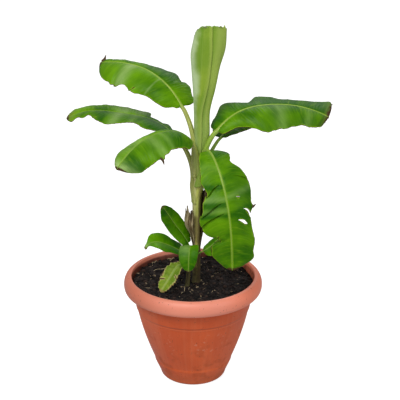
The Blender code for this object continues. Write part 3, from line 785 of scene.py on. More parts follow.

# %% [markdown]
# ## Six grown leaves
# The numbers below say where each leaf leaves the stem and how it runs. Walking out along the
# leaf, left and right name its two halves. Besides the smooth outline each leaf has its damage:
# notches are soft dips in the margin (or bulges, where the depth is below 0), steps are places
# where a strip of the blade is gone, and tears run in along the side veins. tone says how
# yellow-green (1) or deep green (0) a leaf is, and spots of tone and shade change it along the way:
# some are the leaf's own patches of colour, and some are painted shade, such as the dark base of
# left_back and the dark bands past the closed tears of right_front. Spots of sheen and dryness are
# bands that are laid paler, mostly a painted sheen where the blade catches the lamps' light and at
# a few tips a pale grey, and scorched brown where the change is below 0. An aged leaf has a stalk
# that is turning brown, and a stout one is thicker.
#
# Each mark begins with its side. Places along the blade run from 0 at its base to 1 at its tip.
# A notch goes on with its place, reach and depth, a spot of tone and shade and a spot of sheen and
# dryness with their place, reach and change, and a step with its start, its end, the length over
# which it ends and the share of the width that is kept. A tear has its place, where it starts and
# ends between the rib (0) and the margin (1, or 2 to be sure), how far it opens and how far its
# lower strip hangs, in metres.

# %% The leaves' numbers
LEAVES = {
    "upper_left": dict(
        height=0.572, stalk=0.130, blade=0.261, half=(0.073, 0.068), rise=(96, 56, 27, 4, -12),
        bearing=(180, 146, 157), roll=(-5, 6, 0), fold=(2, 17), droop=(70, 40), widest=0.53,
        ends=(2.3, 2.7), base_left=2.1, base_right=7.0, tip_left=4.6, tip_right=9.0, lobe=0.09,
        lobe_right=0.11,
        tone=0.50, aged=1.0, stout=1.3, seed=1.0,
        shades=(("both", 0.06, 0.08, 0.25), ("both", 0.99, 0.03, -0.6), ("right", 0.40, 0.20, -0.6),
                ("left", 0.45, 0.12, 0.25), ("left", 0.24, 0.08, -0.25)),
        blooms=(("left", 0.64, 0.06, 0.60), ("left", 0.33, 0.008, 0.35), ("both", 1.00, 0.02, -0.5)),
        notches=(("left", 0.05, 0.03, 0.25), ("left", 0.27, 0.07, 0.07), ("left", 0.45, 0.07, -0.13),
                 ("left", 0.67, 0.035, -0.18), ("left", 0.76, 0.03, -0.08),
                 ("right", 0.13, 0.05, 0.14), ("right", 0.74, 0.25, 0.55),
                 ("right", 0.38, 0.05, -0.10), ("right", 0.90, 0.05, 0.20)),
        steps=(("right", 0.248, 0.37, 0.15, 0.80),),
        tears=(("left", 0.385, 0.76, 2.0, 0.0018, 0.004), ("left", 0.605, 0.45, 2.0, 0.0002, 0.007),
               ("right", 0.62, 0.80, 2.0, 0.0006, 0.003))),
    "right": dict(
        height=0.549, stalk=0.103, blade=0.305, half=(0.068, 0.075), rise=(94, 49, 6, -8, -26),
        bearing=(-52, 20, -12), roll=(4, -5, 0), fold=(19, 2), droop=(38, 74), widest=0.59,
        ends=(2.7, 4.3), base_left=3.5, tip_left=30.0, tip_right=2.8, lobe=0.10, lobe_left=0.17,
        tone=0.36, stout=1.45, seed=2.0,
        shades=(("both", 0.15, 0.12, 0.05), ("both", 0.95, 0.08, 0.15), ("right", 0.98, 0.04, -0.5),
                ("left", 0.75, 0.25, -0.4)),
        blooms=(("right", 0.55, 0.06, 0.22), ("right", 0.84, 0.04, 0.15), ("both", 0.99, 0.03, -0.5)),
        notches=(("left", 0.15, 0.06, 0.18), ("left", 0.28, 0.045, -0.18), ("left", 0.40, 0.055, 0.44),
                 ("left", 0.53, 0.045, -0.28), ("left", 0.59, 0.03, -0.22), ("left", 0.68, 0.09, 0.22),
                 ("left", 0.90, 0.04, -0.20), ("left", 0.98, 0.05, -0.75),
                 ("right", 0.13, 0.12, 0.38), ("right", 0.24, 0.04, 0.08), ("right", 0.36, 0.06, -0.16),
                 ("right", 0.46, 0.10, -0.18), ("right", 0.60, 0.05, -0.12),
                 ("right", 0.80, 0.08, 0.08), ("right", 0.945, 0.03, -0.14),
                 ("right", 0.985, 0.02, -0.50)),
        tears=(("left", 0.55, 0.86, 2.0, 0.0004, 0.002),)),
    "left_front": dict(
        height=0.574, stalk=0.052, blade=0.232, half=(0.076, 0.044), rise=(92, 55, 2, -28, -50),
        bearing=(232, 212, 219), roll=(-1, 9, -7), fold=(5, 13), droop=(60, 53), widest=0.50,
        ends=(2.1, 2.7), base_left=2.6, tip_left=4.2, tip_right=4.5, lobe=0.055, tone=0.48,
        shades=(("both", 0.28, 0.12, -0.5), ("both", 0.55, 0.12, 0.15), ("left", 0.85, 0.10, -0.4)),
        blooms=(("left", 0.55, 0.05, 0.30), ("left", 0.42, 0.03, 0.20), ("both", 0.99, 0.07, 0.90),
                ("right", 0.66, 0.16, 0.30)),
        aged=0.7, green_rib=0.6, seed=3.0,
        notches=(("left", 0.16, 0.06, -0.10), ("left", 0.34, 0.04, 0.07),
                 ("left", 0.51, 0.04, -0.07), ("left", 0.60, 0.035, -0.16), ("left", 0.82, 0.05, 0.07),
                 ("right", 0.55, 0.20, 0.10), ("right", 0.86, 0.05, -0.15))),
    "left_back": dict(
        height=0.504, stalk=0.140, blade=0.280, half=(0.065, 0.050), rise=(98, 36, 5, 2, -30),
        bearing=(165, 152, 185), roll=(20, 3, 1), fold=(16, 19), droop=(42, 39), widest=0.43,
        ends=(2.8, 2.5), base_left=7.0, tip_left=5.0, tip_right=5.0, lobe=0.06, tone=0.44,
        aged=1.0, green_rib=0.8, stout=1.3, seed=4.0,
        # The dark spot at the base is painted shade, where the twisted blade lies in shadow.
        shades=(("both", 0.12, 0.15, -0.6), ("both", 0.64, 0.05, -0.4), ("both", 0.97, 0.10, 0.8)),
        blooms=(("both", 0.50, 0.05, 0.50), ("both", 0.35, 0.04, 0.3), ("both", 0.99, 0.07, -0.55)),
        notches=(("left", 0.18, 0.09, -0.30), ("left", 0.54, 0.09, -0.28),
                 ("left", 0.35, 0.05, 0.12), ("left", 0.78, 0.06, 0.50),
                 ("left", 0.89, 0.04, 0.44), ("left", 0.97, 0.04, -0.25),
                 ("right", 0.50, 0.12, -0.06), ("right", 0.95, 0.05, -0.40)),
        steps=(("right", 0.12, 0.325, 0.05, 0.44),),
        tears=(("left", 0.64, 0.72, 2.0, 0.0006, 0.003),)),
    "right_front": dict(
        height=0.550, stalk=0.088, blade=0.317, half=(0.054, 0.058), rise=(104, 5, -55, -82, -90),
        bearing=(-64, -72, -32), roll=(-4, 20, 60), fold=(7, 8), droop=(37, 33), widest=0.49,
        ends=(2.7, 3.0), base_left=5.0, base_right=3.5, lobe=0.13, lobe_left=0.27, tone=0.34,
        stout=1.1, green_rib=0.3, seed=5.0,
        # The narrow dark spots from 0.30 to 0.57 are painted shade just past the tears, where overlapping
        # strips shade the blade.
        shades=(("right", 0.20, 0.15, 0.1), ("left", 0.08, 0.12, -0.3),
                ("right", 0.36, 0.02, -0.5), ("right", 0.49, 0.02, -0.5),
                ("right", 0.57, 0.02, -0.5), ("left", 0.30, 0.03, -0.3), ("left", 0.57, 0.03, -0.4)),
        blooms=(("right", 0.22, 0.04, 0.10), ("right", 0.45, 0.02, 0.25), ("right", 0.53, 0.02, 0.2),
                ("left", 0.44, 0.02, 0.2)),
        notches=(("left", 0.05, 0.07, -0.45), ("left", 0.19, 0.02, 0.08), ("left", 0.245, 0.04, 0.28),
                 ("left", 0.43, 0.12, -0.26), ("left", 0.570, 0.025, -0.12),
                 ("left", 0.82, 0.09, -0.24), ("left", 0.93, 0.05, -0.50),
                 ("right", 0.09, 0.06, 0.16), ("right", 0.20, 0.14, 0.25),
                 ("right", 0.40, 0.05, 0.25), ("right", 0.61, 0.06, -0.22),
                 ("right", 0.69, 0.03, -0.10), ("right", 0.765, 0.025, 0.45),
                 ("right", 0.89, 0.04, -0.14)),
        tears=(("left", 0.300, 0.45, 2.0, -0.0010, 0.003), ("left", 0.445, 0.30, 0.54, 0.0014, 0.004),
               ("left", 0.520, 0.56, 2.0, 0.0060, 0.004), ("left", 0.605, 0.34, 0.80, 0.0056, 0.003),
               ("right", 0.34, 0.15, 2.0, -0.0012, 0.008), ("right", 0.47, 0.20, 2.0, -0.0012, 0.010),
               ("right", 0.55, 0.15, 2.0, -0.0012, 0.010), ("right", 0.705, 0.46, 2.0, 0.0040, 0.006))),
    "right_back": dict(
        height=0.534, stalk=0.097, blade=0.272, half=(0.064, 0.064), rise=(71, 27, -3, 9, -27),
        bearing=(40, 53, 40), roll=(-16, -4, 0), fold=(20, 14), droop=(34, 50), widest=0.47,
        # Its low tone is partly painted shade: the leaf shows as a dark strip in the shadow under right's
        # lower edge.
        ends=(2.5, 2.6), base_right=5.0, lobe=0.06, tone=0.25, seed=6.0,
        notches=(("left", 0.68, 0.05, 0.08), ("left", 0.85, 0.09, -0.60),
                 ("right", 0.04, 0.06, 0.25), ("right", 0.15, 0.18, 0.34)),
        tears=(("left", 0.58, 0.70, 2.0, 0.0008, 0.004), ("right", 0.40, 0.78, 2.0, 0.0004, 0.004))),
}

# %% The stem that the leaves stand on
SOIL_TOP = 0.248
GAP = 0.0003
STEM_FOOT = SOIL_TOP + GAP
STEM_TOP = 0.5925
STEM_HEIGHTS = (STEM_FOOT, 0.40, 0.49, STEM_TOP)
STEM_LEAN = (0.008, 0.0095, 0.0115, 0.0196)
STEM_RADII = (0.0095, 0.0105, 0.0120, 0.0155)
ROOT_FLARE = 0.0025
FLARE_HEIGHT = 0.007


def stem_middle(height):
    """x of the stem's middle at a height: the stem leans a little to the right."""
    return smooth(STEM_HEIGHTS, STEM_LEAN, height)


def stem_radius(height):
    flare = ROOT_FLARE * np.exp(-(np.asarray(height, float) - STEM_FOOT) / FLARE_HEIGHT)
    return smooth(STEM_HEIGHTS, STEM_RADII, height) + flare


def stem_skin(height, bearing):
    """The place on the stem's skin at a height, in a compass direction."""
    middle = np.array([float(stem_middle(height)), 0.0, height])
    return middle + float(stem_radius(height)) * direction(bearing)


for leaf in LEAVES.values():
    leaf["root"] = stem_skin(leaf["height"], leaf["bearing"][0])
blade_lengths = [leaf["blade"] for leaf in LEAVES.values()]
print(len(LEAVES), "leaves, from", min(blade_lengths), "to", max(blade_lengths), "m long")


# %% Grow the blades
BLADE_ROWS = 280
BLADE_COLUMNS = 57
BLADE_THICKNESS = 0.0011
DRY_TEAR = dict(reach=9.0, green_edge=0.0)
FRESH_TEAR = dict(reach=15.0, green_edge=0.004)
DRY_FROM_OPENING = 0.0005


def vein_at(row, rows):
    """Where a row of the grid lies along the blade, as the blade tree spaces its rows."""
    share = row / (rows - 1)
    return EVEN_ROWS * share + (1 - EVEN_ROWS) * (0.5 - 0.5 * np.cos(np.pi * share))


def grow_blade(name, leaf, rows, columns, thickness, upper, lower, **extra):
    blade = midrib_line(name, leaf)
    angles = {part + "_" + side: math.radians(angle) for part in ("fold", "droop")
              for side, angle in zip(("left", "right"), leaf[part])}
    add_tree(blade, BLADE_TREE, rows=rows, columns=columns, seed=leaf["seed"], material=upper,
             stalk_share=leaf["stalk"] / (leaf["stalk"] + leaf["blade"]), **angles, **extra)
    places = vein_at(np.arange(rows), rows)
    for side, at, start, end, opening, sag in leaf.get("tears", ()):
        add_tree(blade, TEAR_TREE, tear_row=float(np.argmin(np.abs(places - at))),
                 side=1.0 if side == "left" else -1.0, start=start, end=end, opening=opening,
                 sag=sag, row_width=leaf["blade"] / rows, material=upper,
                 **(DRY_TEAR if opening > DRY_FROM_OPENING else FRESH_TEAR))
    thicken(blade, thickness, upper, lower)
    along, side = [read_values(blade.data, value) for value in ("along", "side")]
    halves = {"left": side > 0, "right": side < 0, "both": 1.0}
    colouring = {"tone": np.full(len(along), leaf["tone"]), "pale_sheen": np.zeros(len(along))}
    for value, spots in (("tone", "shades"), ("pale_sheen", "blooms")):
        for half, place, reach, change in leaf.get(spots, ()):
            colouring[value] += change * halves[half] * np.exp(-((along - place) / reach) ** 2)
    set_values(blade.data, **colouring)
    return blade


for leaf_name, leaf in LEAVES.items():
    blade = grow_blade(leaf_name + "_blade", leaf, BLADE_ROWS, BLADE_COLUMNS, BLADE_THICKNESS,
                       LEAF_UPPER, LEAF_LOWER)
    hand_over(blade, "leaf_green", "leaf_" + leaf_name)

# %% [markdown]
# ## Stalks and ribs
# Each blade hangs on a stalk that is round below and grooved above, and that runs on as the rib
# under the blade. At its other end it flattens out and melts into the sheath that wraps the stem.
# Stalk and rib are one long skin drawn over rings: the ring's size, groove and depth under the
# blade change along the way, which a plain curve with a round section could not show.


# %% A closed skin over a row of rings
def ring_grid(along, around):
    """For every point of a skin of rings: the given value of its ring, and its angle."""
    turns = np.linspace(0, 2 * np.pi, around, endpoint=False)
    return np.meshgrid(along, turns, indexing="ij")


def ring_mesh(name, rings, **values):
    """A closed mesh through rings of points, an array of rings by points by xyz."""
    count, around, _ = rings.shape
    number = np.arange(count * around).reshape(count, around)
    near, far = number[:-1], number[1:]
    faces = np.stack([near, np.roll(near, -1, axis=1), np.roll(far, -1, axis=1), far], axis=-1)
    faces = faces.reshape(-1, 4).tolist() + [number[0, ::-1].tolist(), number[-1].tolist()]
    piece = drawn(name, rings.reshape(-1, 3), faces=faces, **values)
    shaped = bmesh.new()
    shaped.from_mesh(piece.data)
    bmesh.ops.recalc_face_normals(shaped, faces=shaped.faces)
    shaped.to_mesh(piece.data)
    shaped.free()
    piece.data.shade_smooth()
    return piece


def grain_of(turns, lengths):
    """A vector for streaks: x and y go round the ring and z runs along it, in metres."""
    return np.stack([np.cos(turns), np.sin(turns), lengths], axis=-1)


# %% Stalk finish
def stalk_finish(name, pale, green, dry):
    finish = Finish(name, 0.45)
    grain = finish.read("grain", "vector")
    fine = finish.streaks(grain, 5.0, 18.0)
    finish.base(finish.ramp(fine, 0.38, 0.66), green, pale)
    finish.lay(finish.ramp(finish.streaks(grain, 1.6, 9.0), 0.50, 0.70) * 0.5, (172, 182, 76))
    aged = finish.blend(finish.ramp(fine, 0.40, 0.62), (166, 166, 80), (214, 210, 136))
    finish.lay(finish.read("aged") * 0.7, aged)
    brown = finish.ramp(fine, 0.55, 0.70) * finish.ramp(finish.read("along"), 0.20, 0.02)
    finish.lay(brown * 0.5, dry)
    finish.lay(finish.read("green_rib"), (84, 134, 26))
    return finish.done(finish.bump(fine, 0.0004, 0.5), brown * 0.3 + 0.45)


STALK_SKIN = stalk_finish("stalk_skin", (166, 196, 78), (124, 160, 40), (112, 84, 48))
SHOOT_SKIN = stalk_finish("shoot_skin", (102, 92, 56), (62, 58, 28), (36, 28, 18))
YOUNG_STALK = stalk_finish("young_stalk_skin", (134, 172, 62), (92, 140, 34), (112, 84, 48))

# %% Draw the stalks
STALK_RADII = (0.0060, 0.0038)
RIB_TIP_RADIUS = 0.0007
RIB_SHOWS = (0.0007, 0.0003, 0.0001)
RIB_SINKS_OVER = 0.012
GROOVE_DEPTH = 0.55
GROOVE_WIDTH = 0.45
GROOVE_STARTS_OVER = 0.02
ROOT_BROADER = 0.25
ROOT_LENGTH = 0.03
FOOT_BROADER = 0.7
FOOT_LENGTH = 0.045
FOOT_SINKS = 0.0046
FOOT_RINGS = 16
RING_POINTS = 28
RING_EVERY = 5


def make_stalk(name, leaf, skin, radii, foot=np.zeros((0, 3)), foot_length=0.0):
    """The skin of a stalk and its rib. foot is a row of points that lead up to the root."""
    distance, points, left, above = midrib(leaf)
    stalk, length = leaf["stalk"], distance[-1]

    def thinned(values, before):
        """Every few values and the last one, after those of the foot."""
        return np.concatenate([before, values[::RING_EVERY], values[-1:]])

    along = thinned(distance, np.linspace(-foot_length, 0.0, len(foot), endpoint=False))
    middle = thinned(points, foot)
    side, top = [thinned(one, np.repeat(one[:1], len(foot), axis=0)) for one in (left, above)]

    stout = leaf.get("stout", 1.0)
    radius = np.interp(along, (0.0, stalk, length),
                       (radii[0] * stout, radii[1] * stout, RIB_TIP_RADIUS))
    flattened = FOOT_BROADER * soft_step(-along, 0.0, foot_length) if len(foot) else 0.0
    broad = 1.0 + flattened + ROOT_BROADER * soft_step(along, ROOT_LENGTH, 0.0)
    under_blade = soft_step(along, stalk - RIB_SINKS_OVER, stalk + RIB_SINKS_OVER)
    sunk = under_blade * (radius - np.interp(along, (stalk, stalk + 0.06, length), RIB_SHOWS))
    groove = GROOVE_DEPTH * soft_step(along, 0.0, GROOVE_STARTS_OVER) * (1 - under_blade)

    lengths, turn = ring_grid(along, RING_POINTS)
    across, height = np.cos(turn), np.sin(turn)
    dip = groove[:, None] * np.exp(-(across / GROOVE_WIDTH) ** 2) * (height > 0)
    sideways = radius[:, None] * broad[:, None] * across
    upward = radius[:, None] * (height - dip) - sunk[:, None]
    rings = (middle[:, None, :] + sideways[..., None] * side[:, None, :]
             + upward[..., None] * top[:, None, :])
    on_blade = np.repeat(under_blade[:, None], RING_POINTS, axis=1)
    piece = ring_mesh(name, rings, along=lengths / length, grain=grain_of(turn, lengths),
                      aged=leaf.get("aged", 0.0) * (1 - on_blade),
                      green_rib=leaf.get("green_rib", 0.0) * on_blade)
    dress(piece, skin)
    return piece


for leaf_name, leaf in LEAVES.items():
    bearing = leaf["bearing"][0]
    foot = [stem_skin(leaf["height"] - below, bearing)
            - FOOT_SINKS * soft_step(below, 0.0, FOOT_LENGTH) * direction(bearing)
            for below in np.linspace(FOOT_LENGTH, 0.0, FOOT_RINGS, endpoint=False)]
    stalk = make_stalk(leaf_name + "_stalk", leaf, STALK_SKIN, STALK_RADII, foot, FOOT_LENGTH)
    hand_over(stalk, "stem_green", "stalk_" + leaf_name)

# %% [markdown]
# ## Dry tips and threads
# Where a blade was torn, its margin often ends in a thin brown spike or thread that curls away.
# Each one starts on a blade's margin, so its place is read back from the blade's own numbers. The
# table gives the leaf, how far along and across it the thread starts, its length and its width,
# and how its end is bent, in metres along x, y and z.


# %% Make the dry bits
THREAD_POINTS = 10
THREAD_RINGS = 22
THREAD_STARTS_INSIDE = 0.35
THREAD_FLATNESS = 0.45
THINNEST = 0.00012


def margin_spot(blade, along, side):
    """The point of a blade nearest to these numbers, and the way out over the margin there."""
    mesh = blade.data
    place = np.empty(len(mesh.vertices) * 3)
    mesh.vertices.foreach_get("co", place)
    along_off = np.abs(read_values(mesh, "along") - along)
    sides = read_values(mesh, "side")
    spot, further_in = [place.reshape(-1, 3)[np.argmin(along_off + np.abs(sides - wanted))]
                        for wanted in (side, side * 0.7)]
    out = spot - further_in
    return spot, out / np.linalg.norm(out)


def thread_tube(name, middle, radius, flatness, material):
    """A thin tube round a row of points, lower than it is wide where flatness is under 1."""
    way = np.gradient(middle, axis=0)
    way /= np.linalg.norm(way, axis=1, keepdims=True)
    level = np.cross(way, (0.0, 0.0, 1.0))
    level /= np.linalg.norm(level, axis=1, keepdims=True)
    steps = np.linalg.norm(np.diff(middle, axis=0, prepend=middle[:1]), axis=1)
    lengths, turn = ring_grid(np.cumsum(steps), THREAD_POINTS)
    radius = radius[:, None]
    rings = (middle[:, None, :] + (radius * np.cos(turn))[..., None] * level[:, None, :]
             + (radius * flatness * np.sin(turn))[..., None] * np.cross(level, way)[:, None, :])
    tube = ring_mesh(name, rings, grain=grain_of(turn, lengths))
    dress(tube, material)
    hand_over(tube, "dry_brown")


def dry_thread(name, blade, along, side, length, width, curl):
    """A tapering thread from a blade's margin. It starts inside the blade, and curl bends it."""
    spot, out = margin_spot(blade, along, side)
    share = np.linspace(-THREAD_STARTS_INSIDE, 1.0, THREAD_RINGS)
    middle = spot + share[:, None] * length * out
    middle = middle + (np.maximum(share, 0) ** 2)[:, None] * np.array(curl)
    radius = width * np.clip(1.02 - share, 0.02, 1) ** 0.8 * soft_step(share, -0.36, -0.1)
    thread_tube(name, middle, radius + THINNEST, THREAD_FLATNESS, DRY_THREAD)


def thread_finish(name, dark, pale):
    finish = Finish(name, 0.85, 0.2)
    fine = finish.streaks(finish.read("grain", "vector"), 3.0, 140.0)
    finish.base(finish.ramp(fine, 0.4, 0.6), dark, pale)
    return finish.done(finish.bump(fine, 0.0004, 0.5))


DRY_THREAD = thread_finish("dry_thread", (52, 38, 24), (104, 84, 54))
DRY_BITS = (
    ("upper_left_tip_spike", "upper_left", 0.985, -0.45, 0.011, 0.0060, (0.002, 0.0, 0.012)),
    ("right_corner_spike", "right", 0.985, 0.93, 0.006, 0.0030, (0.002, 0.0, -0.002)),
    ("right_tip_thread", "right", 0.985, -0.60, 0.010, 0.0010, (0.006, 0.0, 0.002)),
    ("left_front_spike", "left_front", 0.622, 0.95, 0.014, 0.0048, (-0.003, 0.0, -0.005)),
    ("right_front_spike", "right_front", 0.570, 0.96, 0.009, 0.0050, (0.002, 0.0, 0.002)),
)
for name, leaf_name, *numbers in DRY_BITS:
    dry_thread(name, bpy.data.objects[leaf_name + "_blade"], *numbers)

# %% [markdown]
# ## The stem of sheaths
# A banana plant has no wood: its stem is the feet of its leaves, wrapped round each other. Each
# sheath ends in a thin margin that runs down and round the stem from its leaf's root, and dries to
# a brown line. The stem is one skin over rings, and each margin is a small step in its radius.


# %% Stem finish
def stem_finish():
    finish = Finish("stem_skin", 0.5)
    grain = finish.read("grain", "vector")
    seam, height, tone = finish.read_all("seam", "height", "tone")
    from_left = finish.part(grain, "x")
    fine = finish.streaks(grain, 6.0, 14.0)
    blotch = finish.patches(55.0, 0.45, 0.62)
    streaky = finish.ramp(fine, 0.35, 0.65)
    finish.base(streaky, (166, 180, 60), (204, 212, 112))
    finish.lay(tone * 0.6, (170, 166, 82))
    finish.lay(finish.ramp(height, 0.47, 0.36), finish.blend(streaky, (158, 148, 54), (212, 204, 120)))
    # Painted light: a pale band from 0.44 to 0.60 m, where the leaves' feet cast shade on the stem, and a
    # paler left side, which faces the key lamp.
    finish.lay(finish.band(height, 0.44, 0.50, 0.56, 0.60) * 0.6, (228, 232, 112))
    finish.lay(finish.ramp(from_left, -0.10, -0.60) * 0.75, (230, 228, 160))
    brown = finish.ramp(finish.streaks(grain, 1.5, 10.0), 0.52, 0.66) * finish.ramp(height, 0.56, 0.42)
    finish.lay(brown * 0.65, (92, 74, 36))
    scar = finish.band(height, 0.350, 0.375, 0.418, 0.432) * (fine + 0.25)
    finish.lay(scar * 0.75, (104, 78, 48))
    finish.lay(blotch * finish.ramp(height, 0.44, 0.30) * 0.7, (72, 56, 30))
    facing_right = finish.ramp(from_left, 0.00, 0.50)
    shaded = facing_right * finish.ramp(height, 0.53, 0.47) * finish.ramp(fine, 0.25, 0.45)
    finish.lay(shaded * 0.85, (74, 60, 20))
    foot = finish.ramp(height + (fine - 0.5) * 0.05, 0.315, 0.262)
    finish.lay(foot * 0.85, (66, 54, 30))
    finish.lay(finish.ramp(seam + (blotch - 0.5) * 0.0012, 0.0016, 0.0002) * 0.75, (116, 92, 50))
    return finish.done(finish.bump(fine, 0.0005, 0.6), foot * 0.35 + 0.42 + brown * 0.2)


# %% Make the stem
STEM_RINGS = 300
STEM_AROUND = 128
SHEATH_DROP = 0.100
SHEATH_THICKNESS = 0.0010
SHEATH_FADES = 0.030
MARGIN_ABOVE_ROOT = 0.004
MARGIN_WAVE = 0.0015
MARGIN_HALF_STEP = 0.0006
RIDGE_HEIGHT = 0.0008
RIDGE_WIDTH = 0.10
RIDGE_LENGTH = 0.14
DOME_HEIGHT = 0.010


def make_stem():
    height, turn = ring_grid(np.linspace(STEM_FOOT, STEM_TOP, STEM_RINGS), STEM_AROUND)
    radius = stem_radius(height)
    seam = np.full(height.shape, 1.0)
    tone = np.zeros(height.shape)
    for number, leaf in enumerate(sorted(LEAVES.values(), key=lambda one: one["height"])):
        away = np.angle(np.exp(1j * (turn - math.radians(leaf["bearing"][0])))) / np.pi
        margin = leaf["height"] + MARGIN_ABOVE_ROOT - SHEATH_DROP * np.abs(away) ** 1.3
        margin = margin + MARGIN_WAVE * np.sin(turn * 5 + number)
        above_margin = height - margin
        step = soft_step(above_margin, -MARGIN_HALF_STEP, MARGIN_HALF_STEP)
        fade = np.exp(-np.maximum(above_margin, 0) / SHEATH_FADES)
        radius = radius - SHEATH_THICKNESS * step * fade
        seam = np.minimum(seam, np.abs(above_margin))
        tone = np.where(above_margin < 0, tone, (number % 3) / 2.0)
        ridge = (np.exp(-(away / RIDGE_WIDTH) ** 2)
                 * soft_step(height, leaf["height"] - RIDGE_LENGTH, leaf["height"]))
        radius = radius + RIDGE_HEIGHT * ridge * (above_margin < 0)
    dome = np.clip((height - STEM_TOP + DOME_HEIGHT) / DOME_HEIGHT, 0, 1)
    radius = radius * np.sqrt(1 - 0.75 * dome ** 2)
    rings = np.stack([stem_middle(height) + radius * np.cos(turn), radius * np.sin(turn), height],
                     axis=-1)
    stem = ring_mesh("sheath_stem", rings, seam=seam, height=height, tone=tone,
                     grain=grain_of(turn, height))
    dress(stem, stem_finish())
    return stem


hand_over(make_stem(), "stem_green", "stem")

# %% [markdown]
# ## The new leaf, still rolled
# The youngest leaf stands upright like a paper scroll: narrow at its foot, wide at its open top,
# its outer edge running up the front. It is a single thin sheet that winds inwards, so it is drawn
# as a sheet over a grid, with the number of turns and how far each turn lies inside the last.


# %% A thin sheet over a grid
def grid_sheet(name, rows, columns, place, thickness, material):
    """A sheet through place(along, across), both 0 to 1, which returns points and their values."""
    along, across = np.meshgrid(np.linspace(0, 1, rows), np.linspace(0, 1, columns), indexing="ij")
    points, values = place(along.ravel(), across.ravel())
    number = np.arange(rows * columns).reshape(rows, columns)
    faces = np.stack([number[:-1, :-1], number[:-1, 1:], number[1:, 1:], number[1:, :-1]], axis=-1)
    piece = drawn(name, points, faces=faces.reshape(-1, 4).tolist(), **values)
    thicken(piece, thickness, material)
    return piece


# %% Rolled leaf finish
def rolled_finish():
    finish = Finish("rolled_leaf_skin", 0.48)
    grain = finish.read("grain", "vector")
    left, along, edge, top_edge = finish.read_all("left", "along", "edge", "top_edge")
    fine = finish.streaks(grain, 9.0, 5.0)
    drift = finish.patches(16.0, 0.35, 0.65)
    cloudy = finish.ramp(finish.streaks(grain, 2.2, 3.0), 0.36, 0.66) * 0.5 + drift * 0.5
    # Partly the young leaf's pale wax and partly painted sheen: the left side, which faces the key lamp,
    # is laid paler and a little rougher.
    pale_sheen = finish.ramp(left + (drift - 0.5) * 0.3, 0.35, 0.95)
    dots = finish.patches(230.0, 0.50, 0.60) * finish.ramp(top_edge, 0.006, 0.001)
    finish.base(cloudy, (96, 138, 14), (140, 168, 40))
    for share, colour in (
            (finish.ramp(fine, 0.55, 0.75) * 0.22, (172, 194, 96)),
            (pale_sheen * 0.9, (188, 208, 160)),
            (finish.ramp(left, -0.15, -0.60) * 0.60, (168, 190, 84)),
            (finish.ramp(along, 0.48, 0.12) * 0.75, (152, 176, 84)),
            (finish.ramp(edge, 0.010, 0.001) * 0.45, (172, 190, 88)),
            (finish.ramp(edge, 0.0012, 0.0003) * 0.15, (112, 124, 46)),
            (dots * 0.85, (66, 58, 34))):
        finish.lay(share, colour)
    return finish.done(finish.bump(fine, 0.0004, 0.45), pale_sheen * 0.16 + 0.44)


# %% Make the rolled leaf
ROLL_STATIONS = (0.0, 0.15, 0.35, 0.52, 0.69, 0.84, 1.0)
ROLL_MIDDLE_X = (0.0205, 0.0224, 0.0222, 0.0270, 0.0314, 0.0364, 0.0410)
ROLL_RADII = (0.0125, 0.0180, 0.0192, 0.0262, 0.0332, 0.0400, 0.0380)
ROLL_DEPTHS = (0.0115, 0.0150, 0.0150, 0.0175, 0.0190, 0.0200, 0.0190)
ROLL_TURNS = 1.3
ROLL_PITCH = 0.0026
ROLL_THICKNESS = 0.0014
ROLL_FOOT = STEM_TOP + GAP - 0.012
PLANT_TOP = 0.891
LEFT_SHOULDER = 0.026
RIGHT_SHOULDER = 0.004
TOP_SLANT = 0.0065
CORNER_TIP = 0.006
CORNER_AT = 0.90
CORNER_WIDTH = 0.035
SLANT_STARTS = 0.7
NIBBLE_DEPTH = 0.0014
RIPPLE_HEIGHT = 0.0006


def rolled_place(along, across):
    wound = 2 * np.pi * ROLL_TURNS * across
    edge_bearing = smooth((0.0, 0.3, 0.6, 1.0), (-96.0, -90.0, -72.0, -82.0), along)
    angle = np.radians(edge_bearing) - wound
    rightward, backward = np.cos(angle), np.sin(angle)
    inset = ROLL_PITCH * across * ROLL_TURNS
    middle_x, half_width, half_depth = [
        smooth(ROLL_STATIONS, values, along) for values in (ROLL_MIDDLE_X, ROLL_RADII, ROLL_DEPTHS)]
    half_width, half_depth = half_width - inset, half_depth - inset
    top = (PLANT_TOP - LEFT_SHOULDER * np.maximum(0.0, -rightward) ** 5
           - RIGHT_SHOULDER * np.maximum(0.0, rightward) ** 5 - TOP_SLANT * backward)
    top = top + CORNER_TIP * np.exp(-((rightward - CORNER_AT) / CORNER_WIDTH) ** 2)
    height = (ROLL_FOOT + (PLANT_TOP - ROLL_FOOT) * along
              - (PLANT_TOP - top) * np.maximum(0, along - SLANT_STARTS) / 0.3)
    nibble = NIBBLE_DEPTH * np.sin(across * 160) * np.sin(across * 47) * soft_step(along, 0.96, 1.0)
    ripple = RIPPLE_HEIGHT * np.sin(across * 40 + 3 * np.sin(along * 5)) * soft_step(along, 0.2, 0.6)
    points = np.stack([middle_x + (half_width + ripple) * rightward,
                       (half_depth + ripple) * backward, height - nibble], axis=1)
    return points, {"along": along, "left": -rightward, "grain": grain_of(wound * 0.5, height),
                    "edge": 2 * np.pi * ROLL_TURNS * half_width * across,
                    "top_edge": (1 - along) * (PLANT_TOP - ROLL_FOOT)}


rolled = grid_sheet("rolled_leaf", 110, 200, rolled_place, ROLL_THICKNESS, rolled_finish())
hand_over(rolled, "young_green", "leaf_rolled")

# %% [markdown]
# ## Dry husks
# The oldest sheaths have died back to stiff brown flaps, split and frayed along their grain. They
# stand a little off the stem, one on each side, and are sheets whose top edge is torn. The right
# one's colours are painted shade: it is laid about half as bright as the left one, as it stands in
# the shadow between the stem and the leaves.

